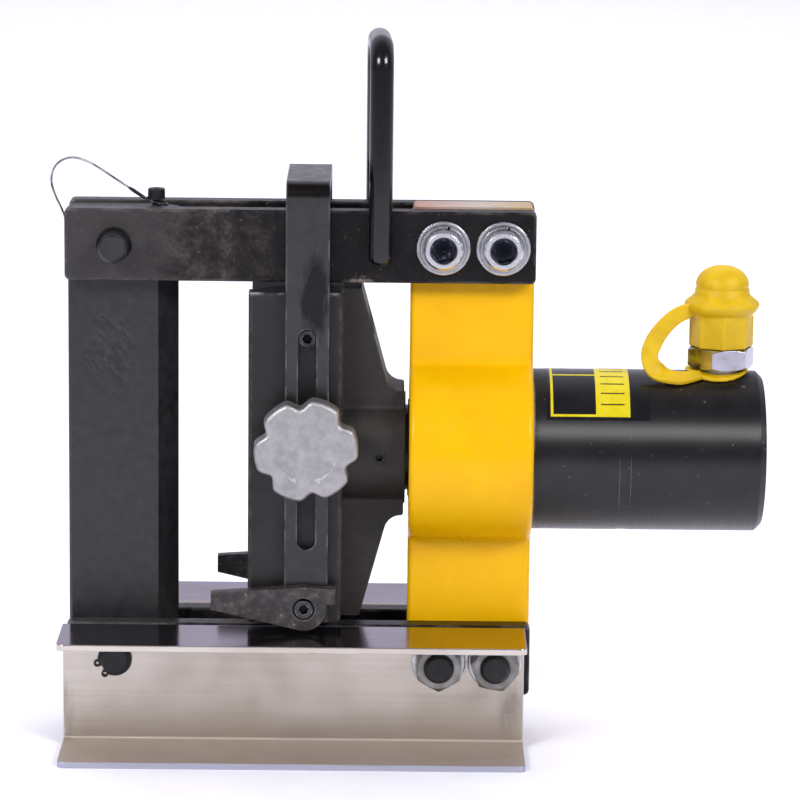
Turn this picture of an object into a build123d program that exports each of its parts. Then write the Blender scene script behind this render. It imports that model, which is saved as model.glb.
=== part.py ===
"""Hydraulic busbar bender.

Four black flat bars, two above and two below, clamp a bending post on the left and a yellow
cylinder head on the right. Two bright channels are the feet. The ram pushes a carrier with a
vee die towards the nose of the post, and a stirrup hung on the die holds the busbar at height.

Millimetres. X runs along the ram towards the cylinder, Y to the back and Z up.
The origin is on the floor, under the middle of the machine.
"""
import os
from math import atan2, cos, degrees, pi, radians, sin, sqrt, tan

from build123d import *

os.makedirs("parts", exist_ok=True)

# Running clearance on the radius, and the gap left between pieces that only lie close
run_fit = 0.05
close_gap = 0.3

# Four flat bars
bar_left = -193.5
bar_length = 260
bar_height = 40
bar_thick = 12
bar_corner = 3
bar_edge = 1.2
core_thick = 24
lower_bar_bottom = 30
window_height = 194

bar_face = core_thick / 2 + bar_thick
lower_z = lower_bar_bottom + bar_height / 2
upper_z = lower_bar_bottom + bar_height + window_height + bar_height / 2
axis_z = (lower_z + upper_z) / 2

# Channel feet
foot_left = -195
foot_length = 258.4
foot_height = 70
foot_width = 52
foot_wall = 3.5
foot_bend = 5
foot_corner = 4

# Bending post with its pivot pin and lock pin
post_left = -192.5
post_flat = 50
post_half = core_thick / 2 - 0.1
post_bottom = 32
post_top = 302.5
nose_round = 2.5
pin_x = -166
pin_radius = 8
pivot_end = bar_face + foot_wall + 4
circlip_thick = 1.2
circlip_groove = 7.6
circlip_outer = 9.6
circlip_gap_angle = 216
lock_pin_front = -bar_face - 17
lock_collar_radius = 12
lock_collar_thick = 6
lock_lug = 14
lock_lug_thick = 5

# Cylinder head, tube and ram
head_left = -2.5
head_right = 66.2
head_bottom = 31
head_top = 303
head_corner = 4
head_edge = 3
barrel_radius = 51
barrel_blend = 5
tube_radius = 45
tube_end = 195
tube_bore = 32
tube_bevel = 3.6
tube_bevel_round = 1
tube_floor = 181
spigot_left = 52
spigot_radius = 40
band_left = 114
band_width = 6
band_depth = 0.2
ram_radius = 24
ram_left = -29.5
ram_right = 176
piston_left = 145
piston_right = 165
piston_seat = 18

# Wiper, bush and seals about the ram, and the rings on the piston
seal_groove = 29
wiper_end = 5
bush_left = 8
bush_right = 36
bush_radius = 28
o_ring_left = 56.5
o_ring_groove = 3.5
o_ring_wire = 2.9
wear_ring_left = 148
wear_ring_width = 4
wear_ring_depth = 3
piston_seal_left = 155
piston_seal_width = 6
piston_seal_depth = 5

# Return spring around the ram
spring_wire = 6
spring_mean = 28
spring_turns = 7
spring_seat_left = 42
spring_seat_thick = 3

# M16 frame bolts
bolt_radius = 8
bolt_hole = 8.5
top_bolt_x = (15.3, 48.3)
base_bolt_x = (15.4, 46.8)
washer_radius = 15
washer_thick = 2.5
spring_washer_radius = 12.6
spring_washer_thick = 3
low_head_radius = 11
low_head_height = 6.5
low_head_dish = 7.4
low_head_socket = 12.5
base_head_radius = 12
base_head_height = 16
base_head_socket = 14
nut_flats = 24
nut_height = 13

# Carrying handle
handle_x = -20
handle_radius = 6.5
handle_leg_y = 30
handle_foot = 277
handle_top = 394.3
handle_bend = 22
handle_end_round = 4.5
weld_radius = 2.4
weld_out = 4.4
weld_length = 18.5

# Carrier and vee die on the ram
die_left = -91.5
die_right = -39.5
die_half = 36
die_bottom = 74
die_top = 260
vee_half = 25
vee_root = 2
vee_shoulder = 2.5
boss_radius = 31.5
boss_right = -4.5
boss_edge = 0.7
arm_half = 18
arm_right = boss_right - 0.8
arm_tip = (-29.5, 260)
arm_waist = (-15.6, 209.2)
arm_root = (-6.9, 202.3)
arm_corner = 1.5
cast_blend = 4
die_screw_y = 9
die_screw_rise = 72
die_screw_seat = -34.5
die_screw_radius = 4
die_screw_head = 6.5
die_screw_head_height = 8
set_screw_x = -19

# Stirrup with its two support fingers
stirrup_x = -59
stirrup_width = 24
stirrup_thick = 6
stirrup_inner = 36.5
stirrup_bend = 8
stirrup_bottom = 76
stirrup_top = 322
slot_width = 10
slot_low = 122
slot_high = 235.6
guide_z = 235.5
guide_head = 4.4
finger_thick = 6.5
finger_tip = -111.5
finger_top = 96.3
finger_tip_top = 93.7
finger_tip_low = 83.7
finger_ear = -42.5
finger_ear_low = 87
finger_screw = (-60, 84.7)
finger_round = 12.5

# Star knob on its stud
knob_z = 176.5
knob_radius = 28.6
knob_valley = 22
knob_scallop = 8
knob_turn = 38
knob_thick = 13
knob_hub = 13
knob_back = 50
stud_radius = 4.5

# Quick coupler with its dust cap
coupler_x = 171.5
coupler_seat = 210
coupler_thread = 8
oil_port = 4
seal_radius = 12
hex_bottom = 215
hex_top = 226.5
hex_flats = 33
hex_turn = 11.5
plug_radius = 14
plug_top = 248
cap_skirt = 17.5
cap_flange = 20.75
cap_flange_low = 245.8
cap_flange_edge = 2.4
cap_cone = 15.8
cap_cone_top = 254.3
cap_band = 15.2
cap_groove_z = 259.8
cap_groove = 14.2
cap_dome = 14.75
cap_top = 272.2
cap_shoulder = 9.5
cap_flats = 7
cap_flat = 16.4
strap_ring = 17.5
strap_ring_x = coupler_x - 2.2
strap_thick = 3

# Wire lanyard of the lock pin
anchor_x = -144
anchor_head = 4.8
anchor_head_low = post_top + 3.8
anchor_head_high = post_top + 9.8
wire_radius = 0.8
ferrule_radius = 1.5
eye_radius = 6.4
loop_radius = 6
ferrule_length = 10
pin_ferrule_length = 8
hook_run = 5


def face_plane(y, x=0, z=0):
    """Upright plane at depth y: local x is X, local y is Z, and it faces the front."""
    return Plane(origin=(x, y, z), x_dir=(1, 0, 0), z_dir=(0, -1, 0))


def cross_plane(x, z=0):
    """Upright plane across the machine at x: local x is Y, local y is Z, facing +X."""
    return Plane(origin=(x, 0, z), x_dir=(0, 1, 0), z_dir=(1, 0, 0))


def add_rod(x, z, radius, y_front, y_back, mode=Mode.ADD):
    """Round bar along Y in the part being built, or a hole with Mode.SUBTRACT."""
    with BuildSketch(face_plane(y_back, x, z)) as section:
        Circle(radius)
    extrude(section.sketch, amount=y_back - y_front, mode=mode)


def add_hexagon(x, z, flats, turn, y_front, y_back, mode=Mode.ADD):
    """Hexagonal bar along Y in the part being built."""
    with BuildSketch(face_plane(y_back, x, z)) as section:
        RegularPolygon(flats / 2, 6, major_radius=False, rotation=turn)
    extrude(section.sketch, amount=y_back - y_front, mode=mode)


def cut_corners(x, z, y_face, way, flats):
    """Bevel the corners of a hexagon's end at y_face, as on a nut; way is the side it lies to."""
    inner = 0.48 * flats
    outer = flats / sqrt(3) + 1
    with BuildSketch(Plane(origin=(x, y_face, z), x_dir=(1, 0, 0), z_dir=(0, 0, 1))) as section:
        with BuildLine():
            Polyline((inner, 0), (outer, 0), (outer, way * 0.5 * (outer - inner)), close=True)
        make_face()
    revolve(section.sketch, axis=Axis((x, 0, z), (0, 1, 0)), mode=Mode.SUBTRACT)


def add_ring(x_low, x_high, inner, outer, mode=Mode.ADD):
    """Ring about the ram axis in the part being built."""
    with BuildSketch(cross_plane(x_low, axis_z)) as section:
        Circle(outer)
        if inner:
            Circle(inner, mode=Mode.SUBTRACT)
    extrude(section.sketch, amount=x_high - x_low, mode=mode)


def end_edges(part, y_index, axis=Axis.Y):
    """Outline edges of the part's first (0) or last (-1) face along an axis."""
    return part.faces().sort_by(axis)[y_index].outer_wire().edges()


# Feet
for side, sign in (("front", -1), ("rear", 1)):
    with BuildPart() as foot:
        with BuildSketch(cross_plane(foot_left)) as section:
            with Locations((sign * (bar_face + foot_width / 2), foot_height / 2)):
                Rectangle(foot_width, foot_height)
            with Locations((sign * (bar_face + foot_wall + foot_width / 2), foot_height / 2)):
                Rectangle(foot_width, foot_height - 2 * foot_wall, mode=Mode.SUBTRACT)
            fillet(section.vertices().group_by(Axis.X)[::-sign][1], foot_bend - foot_wall)
            fillet(section.vertices().group_by(Axis.X)[::-sign][-1], foot_bend)
        extrude(amount=foot_length)
        lips = foot.edges().filter_by(Axis.Z).group_by(Axis.Y)[::-sign][0]
        fillet(lips, foot_corner)
        add_rod(pin_x, lower_z, pin_radius + run_fit, -60, 60, Mode.SUBTRACT)
        for x in base_bolt_x:
            add_rod(x, lower_z, bolt_hole, -60, 60, Mode.SUBTRACT)
    foot.part.label = f"{side}_base_channel"
    export_step(foot.part, f"parts/{side}_base_channel.step")

# Flat bars: the upper pair are the top rails
for level, z, bolts in (("lower_bar", lower_z, base_bolt_x), ("top_rail", upper_z, top_bolt_x)):
    for side, sign in (("front", -1), ("rear", 1)):
        with BuildPart() as bar:
            with BuildSketch(face_plane(sign * (bar_face - bar_thick / 2))):
                with Locations((bar_left + bar_length / 2, z)):
                    RectangleRounded(bar_length, bar_height, bar_corner)
                with Locations((pin_x, z)):
                    Circle(pin_radius + run_fit, mode=Mode.SUBTRACT)
                with Locations(*((x, z) for x in bolts)):
                    Circle(bolt_hole, mode=Mode.SUBTRACT)
            extrude(amount=bar_thick / 2, both=True)
            fillet(end_edges(bar, 0) + end_edges(bar, -1), bar_edge)
            if level == "top_rail":
                rings = bar.edges().filter_by(GeomType.CIRCLE)
                rings = rings.filter_by(lambda edge: abs(edge.radius - pin_radius - run_fit) < 0.01)
                chamfer(rings.sort_by(Axis.Y)[0 if sign < 0 else -1], 1.8)
        bar.part.label = f"{side}_{level}"
        export_step(bar.part, f"parts/{side}_{level}.step")

# Bending post: a flat bar with a rounded right-angled nose towards the die
post_right = post_left + post_flat
with BuildPart() as bending_post:
    with BuildSketch(Plane.XY.offset(post_bottom)) as section:
        with BuildLine():
            Polyline(
                (post_left, -post_half),
                (post_right, -post_half),
                (post_right + post_half, 0),
                (post_right, post_half),
                (post_left, post_half),
                close=True,
            )
        make_face()
        fillet(section.vertices().sort_by(Axis.X)[-1], nose_round)
        chamfer(section.vertices().sort_by(Axis.X)[:2], 1.5)
    extrude(amount=post_top - post_bottom)
    fillet(bending_post.edges().filter_by(Axis.Y).group_by(Axis.Z)[0], 12)
    for z in (lower_z, upper_z):
        add_rod(pin_x, z, pin_radius + run_fit, -20, 20, Mode.SUBTRACT)
    with BuildSketch(Plane.XY.offset(post_top)):
        with Locations((anchor_x, 0)):
            Circle(2.5)
    extrude(amount=-14, mode=Mode.SUBTRACT)
bending_post.part.label = "bending_post"
export_step(bending_post.part, "parts/bending_post.step")

# Pivot pin with a groove for a ring at each end
clip_face = bar_face + foot_wall + 0.1
with BuildPart() as post_pivot_pin:
    add_rod(pin_x, lower_z, pin_radius, -pivot_end, pivot_end)
    chamfer(end_edges(post_pivot_pin, 0) + end_edges(post_pivot_pin, -1), 1)
    for sign in (-1, 1):
        groove_y = sign * (clip_face + circlip_thick / 2)
        with BuildSketch(face_plane(groove_y, pin_x, lower_z)):
            Circle(pin_radius + 1)
            Circle(circlip_groove, mode=Mode.SUBTRACT)
        extrude(amount=circlip_thick / 2 + 0.1, both=True, mode=Mode.SUBTRACT)
post_pivot_pin.part.label = "post_pivot_pin"
export_step(post_pivot_pin.part, "parts/post_pivot_pin.step")

# Retaining rings: an open ring with two pierced ears beside the gap
with BuildPart() as pivot_pin_circlips:
    for sign in (-1, 1):
        with BuildSketch(face_plane(sign * (clip_face + circlip_thick / 2), pin_x, lower_z)):
            Circle(circlip_outer)
            with PolarLocations(circlip_outer + 0.6, 2, circlip_gap_angle - 21, 42, endpoint=True):
                Circle(2)
            Circle(circlip_groove + run_fit, mode=Mode.SUBTRACT)
            with PolarLocations(circlip_outer, 1, circlip_gap_angle):
                Rectangle(9, 2.6, mode=Mode.SUBTRACT)
            with PolarLocations(circlip_outer + 0.6, 2, circlip_gap_angle - 21, 42, endpoint=True):
                Circle(0.9, mode=Mode.SUBTRACT)
        extrude(amount=circlip_thick / 2, both=True)
pivot_pin_circlips.part.label = "pivot_pin_circlips"
export_step(pivot_pin_circlips.part, "parts/pivot_pin_circlips.step")

# Lock pin: the collar stays outside the rear rail, and the pierced lug takes the lanyard
collar_back = bar_face + close_gap + lock_collar_thick
lug_eye_y = collar_back + 7
with BuildPart() as lock_pin:
    add_rod(pin_x, upper_z, pin_radius, lock_pin_front, bar_face + close_gap)
    chamfer(end_edges(lock_pin, 0), 1.5)
    add_rod(pin_x, upper_z, lock_collar_radius, bar_face + close_gap, collar_back)
    chamfer(end_edges(lock_pin, -1), 1)
    with BuildSketch(cross_plane(pin_x, upper_z)):
        with Locations((lug_eye_y - lock_lug / 4, 0)):
            Rectangle(lock_lug / 2, lock_lug)
        with Locations((lug_eye_y, 0)):
            Circle(lock_lug / 2)
            Circle(2.5, mode=Mode.SUBTRACT)
    extrude(amount=lock_lug_thick / 2, both=True)
lock_pin.part.label = "lock_pin"
export_step(lock_pin.part, "parts/lock_pin.step")

# Cylinder head: a plate between the bars with a round barrel about the ram
head_mid = (head_left + head_right) / 2
head_length = head_right - head_left
with BuildPart() as cylinder_head:
    with BuildSketch(face_plane(0, head_mid, (head_bottom + head_top) / 2)):
        RectangleRounded(head_length, head_top - head_bottom, head_corner)
    extrude(amount=core_thick / 2, both=True)
    add_ring(head_left, head_right, 0, barrel_radius)
    seams = cylinder_head.edges().filter_by(Axis.X)
    seams = seams.filter_by(lambda edge: abs(abs(edge.center().Z - axis_z) - barrel_radius) < 3)
    fillet(seams, barrel_blend)
    rims = end_edges(cylinder_head, 0, Axis.X) + end_edges(cylinder_head, -1, Axis.X)
    fillet(rims.filter_by(lambda edge: abs(edge.center().Z - axis_z) < 90), head_edge)
    add_ring(head_left, wiper_end, 0, seal_groove, Mode.SUBTRACT)
    add_ring(wiper_end, bush_left, 0, ram_radius + 0.6, Mode.SUBTRACT)
    add_ring(bush_left, bush_right, 0, bush_radius, Mode.SUBTRACT)
    add_ring(bush_right, spring_seat_left, 0, seal_groove, Mode.SUBTRACT)
    add_ring(spring_seat_left, spigot_left, 0, tube_bore, Mode.SUBTRACT)
    add_ring(spigot_left, head_right, 0, spigot_radius, Mode.SUBTRACT)
    for x in top_bolt_x:
        add_rod(x, upper_z, bolt_hole, -20, 20, Mode.SUBTRACT)
    for x in base_bolt_x:
        add_rod(x, lower_z, bolt_hole, -20, 20, Mode.SUBTRACT)
cylinder_head.part.label = "cylinder_head"
export_step(cylinder_head.part, "parts/cylinder_head.step")

# Cylinder tube: spigot in the head, closed end, shallow band and flat seat for the coupler
with BuildPart() as cylinder_tube:
    add_ring(head_right, tube_end, 0, tube_radius)
    chamfer(end_edges(cylinder_tube, -1, Axis.X), tube_bevel)
    rims = cylinder_tube.edges().filter_by(GeomType.CIRCLE)
    rims = rims.filter_by(lambda edge: edge.center().X > tube_end - tube_bevel - 0.1)
    fillet(rims, tube_bevel_round)
    add_ring(spigot_left, head_right, 0, spigot_radius)
    add_ring(spigot_left, tube_floor, 0, tube_bore, Mode.SUBTRACT)
    groove_floor = spigot_radius - 3
    add_ring(o_ring_left, o_ring_left + o_ring_groove, groove_floor, spigot_radius + 1, Mode.SUBTRACT)
    band_floor = tube_radius - band_depth
    add_ring(band_left, band_left + band_width, band_floor, tube_radius + 1, Mode.SUBTRACT)
    with BuildSketch(Plane.XY.offset(coupler_seat)):
        with Locations((coupler_x, 0)):
            Circle(seal_radius + 1)
    extrude(amount=5, mode=Mode.SUBTRACT)
    with BuildSketch(Plane.XY.offset(coupler_seat - 9)):
        with Locations((coupler_x, 0)):
            Circle(coupler_thread + run_fit)
    extrude(amount=12, mode=Mode.SUBTRACT)
    with BuildSketch(Plane.XY.offset(axis_z)):
        with Locations((coupler_x, 0)):
            Circle(oil_port)
    extrude(amount=40, mode=Mode.SUBTRACT)
cylinder_tube.part.label = "cylinder_tube"
export_step(cylinder_tube.part, "parts/cylinder_tube.step")

# Seals, bush and seat in the head
with BuildPart() as tube_o_ring:
    with BuildSketch(face_plane(0, o_ring_left + o_ring_groove / 2, axis_z)):
        with Locations((0, spigot_radius - 1.5)):
            Circle(o_ring_wire / 2)
    revolve(axis=Axis((0, 0, axis_z), (1, 0, 0)))
tube_o_ring.part.label = "tube_o_ring"
export_step(tube_o_ring.part, "parts/tube_o_ring.step")

with BuildPart() as rod_wiper:
    add_ring(head_left - 0.6, wiper_end - 0.2, ram_radius + run_fit, seal_groove - 0.1)
    chamfer(end_edges(rod_wiper, 0, Axis.X), 2)
rod_wiper.part.label = "rod_wiper"
export_step(rod_wiper.part, "parts/rod_wiper.step")

with BuildPart() as rod_bush:
    add_ring(bush_left, bush_right, ram_radius + run_fit, bush_radius - run_fit)
rod_bush.part.label = "rod_bush"
export_step(rod_bush.part, "parts/rod_bush.step")

with BuildPart() as rod_seal:
    add_ring(bush_right + 0.2, spring_seat_left, ram_radius + run_fit, seal_groove - 0.1)
rod_seal.part.label = "rod_seal"
export_step(rod_seal.part, "parts/rod_seal.step")

with BuildPart() as spring_seat:
    add_ring(spring_seat_left, spring_seat_left + spring_seat_thick, ram_radius + 0.4, tube_bore - 0.2)
spring_seat.part.label = "spring_seat"
export_step(spring_seat.part, "parts/spring_seat.step")

# Ram with a stepped tail, and the piston assembly on it
with BuildPart() as ram:
    add_ring(ram_left, piston_left, 0, ram_radius)
    chamfer(end_edges(ram, 0, Axis.X), 1.5)
    add_ring(piston_left, ram_right, 0, piston_seat)
    chamfer(end_edges(ram, -1, Axis.X), 1.5)
ram.part.label = "ram"
export_step(ram.part, "parts/ram.step")

with BuildPart() as piston:
    add_ring(piston_left, piston_right, piston_seat + run_fit, tube_bore - run_fit)
    for left, width, depth in (
        (wear_ring_left, wear_ring_width, wear_ring_depth),
        (piston_seal_left, piston_seal_width, piston_seal_depth),
    ):
        add_ring(left, left + width, tube_bore - depth, tube_bore + 1, Mode.SUBTRACT)
piston.part.label = "piston"
export_step(piston.part, "parts/piston.step")

with BuildPart() as piston_wear_ring:
    wear_ring_right = wear_ring_left + wear_ring_width
    ring_floor = tube_bore - wear_ring_depth + run_fit
    add_ring(wear_ring_left + 0.1, wear_ring_right - 0.1, ring_floor, tube_bore - 0.04)
piston_wear_ring.part.label = "piston_wear_ring"
export_step(piston_wear_ring.part, "parts/piston_wear_ring.step")

with BuildPart() as piston_seal:
    piston_seal_right = piston_seal_left + piston_seal_width
    ring_floor = tube_bore - piston_seal_depth + run_fit
    add_ring(piston_seal_left + 0.1, piston_seal_right - 0.1, ring_floor, tube_bore - 0.04)
piston_seal.part.label = "piston_seal"
export_step(piston_seal.part, "parts/piston_seal.step")

with BuildPart() as piston_nut:
    with BuildSketch(cross_plane(piston_right, axis_z)):
        RegularPolygon(23, 6, major_radius=False)
        Circle(piston_seat + run_fit, mode=Mode.SUBTRACT)
    extrude(amount=9)
piston_nut.part.label = "piston_nut"
export_step(piston_nut.part, "parts/piston_nut.step")


def add_biarc(start, start_way, end, end_way):
    """Two arcs from start to end that keep both end directions."""
    span = end - start
    both = start_way + end_way
    a = both.dot(both) - 4
    b = -2 * span.dot(both)
    c = span.dot(span)
    reach = (-b - sqrt(b * b - 4 * a * c)) / (2 * a)
    first = start + start_way * reach
    second = end - end_way * reach
    middle = (first + second) * 0.5
    TangentArc(start, middle, tangent=start_way)
    TangentArc(middle, end, tangent=(second - first).normalized())


# Return spring: quarter turns of a helix joined as arcs
spring_left = spring_seat_left + spring_seat_thick + spring_wire / 2 + 0.1
spring_right = piston_left - spring_wire / 2 - 0.1
spring_rise = (spring_right - spring_left) / (2 * pi * spring_turns)
spring_slope = sqrt(spring_mean ** 2 + spring_rise ** 2)


def spring_point(angle):
    return Vector(
        spring_left + spring_rise * angle,
        spring_mean * sin(angle),
        axis_z + spring_mean * cos(angle),
    )


def spring_way(angle):
    return Vector(spring_rise, spring_mean * cos(angle), -spring_mean * sin(angle)) / spring_slope


with BuildPart() as return_spring:
    with BuildLine() as coil:
        for quarter in range(4 * spring_turns):
            low = quarter * pi / 2
            high = low + pi / 2
            add_biarc(spring_point(low), spring_way(low), spring_point(high), spring_way(high))
    with BuildSketch(Plane(origin=spring_point(0), z_dir=spring_way(0))):
        Circle(spring_wire / 2)
    sweep(path=coil.line)
return_spring.part.label = "return_spring"
export_step(return_spring.part, "parts/return_spring.step")
print("spring gap between turns", round(2 * pi * spring_rise - spring_wire, 2))

# Top bolts: low socket heads in front, nuts behind
with BuildPart() as top_frame_bolts:
    head_back = -bar_face - washer_thick - spring_washer_thick
    for x in top_bolt_x:
        add_rod(x, upper_z, low_head_radius, head_back - low_head_height, head_back)
    chamfer(top_frame_bolts.faces().group_by(Axis.Y)[0].edges(), 1.2)
    for x in top_bolt_x:
        add_rod(x, upper_z, bolt_radius, head_back, bar_face + washer_thick + nut_height + 4)
        head_front = head_back - low_head_height
        add_rod(x, upper_z, low_head_dish, head_front, head_front + 1.5, Mode.SUBTRACT)
        add_hexagon(x, upper_z, low_head_socket, 12, head_front, head_front + 6, Mode.SUBTRACT)
    chamfer(top_frame_bolts.faces().group_by(Axis.Y)[-1].edges(), 1.5)
top_frame_bolts.part.label = "top_frame_bolts"
export_step(top_frame_bolts.part, "parts/top_frame_bolts.step")

with BuildPart() as top_bolt_washers:
    for x in top_bolt_x:
        for low in (-bar_face - washer_thick, bar_face):
            add_rod(x, upper_z, washer_radius, low, low + washer_thick)
    chamfer(top_bolt_washers.faces().group_by(Axis.Y)[0].edges(), 0.5)
    for x in top_bolt_x:
        add_rod(x, upper_z, bolt_hole, -50, 50, Mode.SUBTRACT)
top_bolt_washers.part.label = "top_bolt_washers"
export_step(top_bolt_washers.part, "parts/top_bolt_washers.step")

# Split spring washers under the heads, open near the top
with BuildPart() as top_bolt_spring_washers:
    for x in top_bolt_x:
        with BuildSketch(face_plane(-bar_face - washer_thick, x, upper_z)):
            Circle(spring_washer_radius)
            Circle(bolt_radius + 0.2, mode=Mode.SUBTRACT)
            with Locations(Location((2, spring_washer_radius - 3, 0), -20)):
                Rectangle(1.2, 9, mode=Mode.SUBTRACT)
        extrude(amount=spring_washer_thick)
top_bolt_spring_washers.part.label = "top_bolt_spring_washers"
export_step(top_bolt_spring_washers.part, "parts/top_bolt_spring_washers.step")

with BuildPart() as top_bolt_nuts:
    nut_front = bar_face + washer_thick
    for x, turn in zip(top_bolt_x, (8, 23)):
        add_hexagon(x, upper_z, nut_flats, turn, nut_front, nut_front + nut_height)
        cut_corners(x, upper_z, nut_front + nut_height, -1, nut_flats)
        add_rod(x, upper_z, bolt_radius + run_fit, nut_front, nut_front + nut_height, Mode.SUBTRACT)
top_bolt_nuts.part.label = "top_bolt_nuts"
export_step(top_bolt_nuts.part, "parts/top_bolt_nuts.step")

# Base bolts: nuts in front, socket heads behind
web_face = bar_face + foot_wall
nut_back = -web_face - washer_thick
with BuildPart() as base_frame_bolts:
    head_front = web_face + washer_thick
    for x in base_bolt_x:
        add_rod(x, lower_z, base_head_radius, head_front, head_front + base_head_height)
    chamfer(base_frame_bolts.faces().group_by(Axis.Y)[-1].edges(), 1.5)
    for x in base_bolt_x:
        add_rod(x, lower_z, bolt_radius, nut_back - nut_height - 3.5, head_front)
        head_back = head_front + base_head_height
        add_hexagon(x, lower_z, base_head_socket, 0, head_back - 8, head_back, Mode.SUBTRACT)
    chamfer(base_frame_bolts.faces().group_by(Axis.Y)[0].edges(), 1.5)
base_frame_bolts.part.label = "base_frame_bolts"
export_step(base_frame_bolts.part, "parts/base_frame_bolts.step")

with BuildPart() as base_bolt_washers:
    for x in base_bolt_x:
        for low in (-web_face - washer_thick, web_face):
            add_rod(x, lower_z, washer_radius, low, low + washer_thick)
    chamfer(base_bolt_washers.faces().group_by(Axis.Y)[0].edges(), 0.5)
    for x in base_bolt_x:
        add_rod(x, lower_z, bolt_hole, -50, 50, Mode.SUBTRACT)
base_bolt_washers.part.label = "base_bolt_washers"
export_step(base_bolt_washers.part, "parts/base_bolt_washers.step")

with BuildPart() as base_bolt_nuts:
    for x, turn in zip(base_bolt_x, (30, 50)):
        add_hexagon(x, lower_z, nut_flats, turn, nut_back - nut_height, nut_back)
        cut_corners(x, lower_z, nut_back - nut_height, 1, nut_flats)
        add_rod(x, lower_z, bolt_radius + run_fit, nut_back - nut_height, nut_back, Mode.SUBTRACT)
base_bolt_nuts.part.label = "base_bolt_nuts"
export_step(base_bolt_nuts.part, "parts/base_bolt_nuts.step")

# Carrying handle: a bent round bar with a flat cut where each leg lies on its rail
with BuildPart() as carry_handle:
    with BuildLine(cross_plane(handle_x)) as bend:
        FilletPolyline(
            (-handle_leg_y, handle_foot),
            (-handle_leg_y, handle_top),
            (handle_leg_y, handle_top),
            (handle_leg_y, handle_foot),
            radius=handle_bend,
        )
    with BuildSketch(Plane(origin=(handle_x, -handle_leg_y, handle_foot), z_dir=(0, 0, 1))):
        Circle(handle_radius)
    sweep(path=bend.line)
    fillet(carry_handle.faces().group_by(Axis.Z)[0].edges(), handle_end_round)
    with BuildSketch(face_plane(0, handle_x, upper_z)):
        Rectangle(2 * bar_height, bar_height + 1)
    extrude(amount=bar_face, both=True, mode=Mode.SUBTRACT)
carry_handle.part.label = "carry_handle"
export_step(carry_handle.part, "parts/carry_handle.step")

# Weld beads: a round bead in each corner between leg and rail
with BuildPart() as handle_weld_beads:
    with BuildSketch(Plane.XY.offset(handle_foot + handle_end_round)):
        for sign in (-1, 1):
            with Locations(*((handle_x + side * weld_out, sign * (bar_face + 0.8)) for side in (-1, 1))):
                Circle(weld_radius)
        with Locations((handle_x, -handle_leg_y), (handle_x, handle_leg_y)):
            Circle(handle_radius, mode=Mode.SUBTRACT)
        with Locations((handle_x, 0)):
            Rectangle(60, 2 * bar_face, mode=Mode.SUBTRACT)
    extrude(amount=weld_length)
handle_weld_beads.part.label = "handle_weld_beads"
export_step(handle_weld_beads.part, "parts/handle_weld_beads.step")

# Die carrier: a boss on the ram with a tapered arm above and below
arm_way = Vector(arm_waist[0] - arm_tip[0], arm_waist[1] - arm_tip[1]).normalized()
with BuildPart() as die_carrier:
    with BuildSketch(face_plane(0, 0, axis_z)) as arms:
        with BuildLine():
            tip = (arm_tip[0], arm_tip[1] - axis_z)
            waist = (arm_waist[0], arm_waist[1] - axis_z)
            root = (arm_root[0], arm_root[1] - axis_z)
            Line((die_right, 0), (die_right, tip[1]))
            Line((die_right, tip[1]), tip)
            Line(tip, waist)
            TangentArc(waist, root, tangent=arm_way)
            Line(root, (arm_right, root[1]))
            Line((arm_right, root[1]), (arm_right, 0))
            Line((arm_right, 0), (die_right, 0))
        make_face()
        mirror(about=Plane.XZ)
        fillet(arms.vertices().group_by(Axis.X)[-1], arm_corner)
    extrude(amount=arm_half, both=True)
    add_ring(die_right, boss_right, 0, boss_radius)
    seams = die_carrier.edges().filter_by(Axis.X)
    seams = seams.filter_by(lambda edge: abs(edge.center().Z - axis_z) < boss_radius)
    seams = seams.filter_by(lambda edge: abs(abs(edge.center().Y) - arm_half) < 0.1)
    fillet(seams, cast_blend)
    fillet(end_edges(die_carrier, -1, Axis.X), boss_edge)
    add_ring(ram_left - 0.3, boss_right, 0, ram_radius + run_fit, Mode.SUBTRACT)
    for sign in (-1, 1):
        for y in (-die_screw_y, die_screw_y):
            with BuildSketch(Plane(origin=(0, y, axis_z + sign * die_screw_rise), z_dir=(1, 0, 0))):
                Circle(die_screw_radius + 0.2)
            extrude(amount=60, both=True, mode=Mode.SUBTRACT)
            seat_place = (die_screw_seat, y, axis_z + sign * die_screw_rise)
            with BuildSketch(Plane(origin=seat_place, z_dir=(1, 0, 0))):
                Circle(die_screw_head + 0.5)
            extrude(amount=30, mode=Mode.SUBTRACT)
    add_rod(set_screw_x, axis_z, 4 + run_fit, -40, -20, Mode.SUBTRACT)
die_carrier.part.label = "die_carrier"
export_step(die_carrier.part, "parts/die_carrier.step")

with BuildPart() as carrier_set_screw:
    add_rod(set_screw_x, axis_z, 4, -boss_radius + 0.4, -ram_radius - 0.1)
    add_hexagon(set_screw_x, axis_z, 4, 0, -boss_radius + 0.4, -boss_radius + 4.4, Mode.SUBTRACT)
carrier_set_screw.part.label = "carrier_set_screw"
export_step(carrier_set_screw.part, "parts/carrier_set_screw.step")

with BuildPart() as die_screws:
    for sign in (-1, 1):
        for y in (-die_screw_y, die_screw_y):
            z = axis_z + sign * die_screw_rise
            with BuildSketch(Plane(origin=(die_screw_seat, y, z), z_dir=(1, 0, 0))):
                Circle(die_screw_head)
            extrude(amount=die_screw_head_height)
            with BuildSketch(Plane(origin=(die_screw_seat, y, z), z_dir=(1, 0, 0))):
                Circle(die_screw_radius)
            extrude(amount=-18)
            with BuildSketch(Plane(origin=(die_screw_seat + die_screw_head_height, y, z), z_dir=(1, 0, 0))):
                RegularPolygon(3, 6, major_radius=False)
            extrude(amount=-4, mode=Mode.SUBTRACT)
die_screws.part.label = "die_screws"
export_step(die_screws.part, "parts/die_screws.step")

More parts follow.
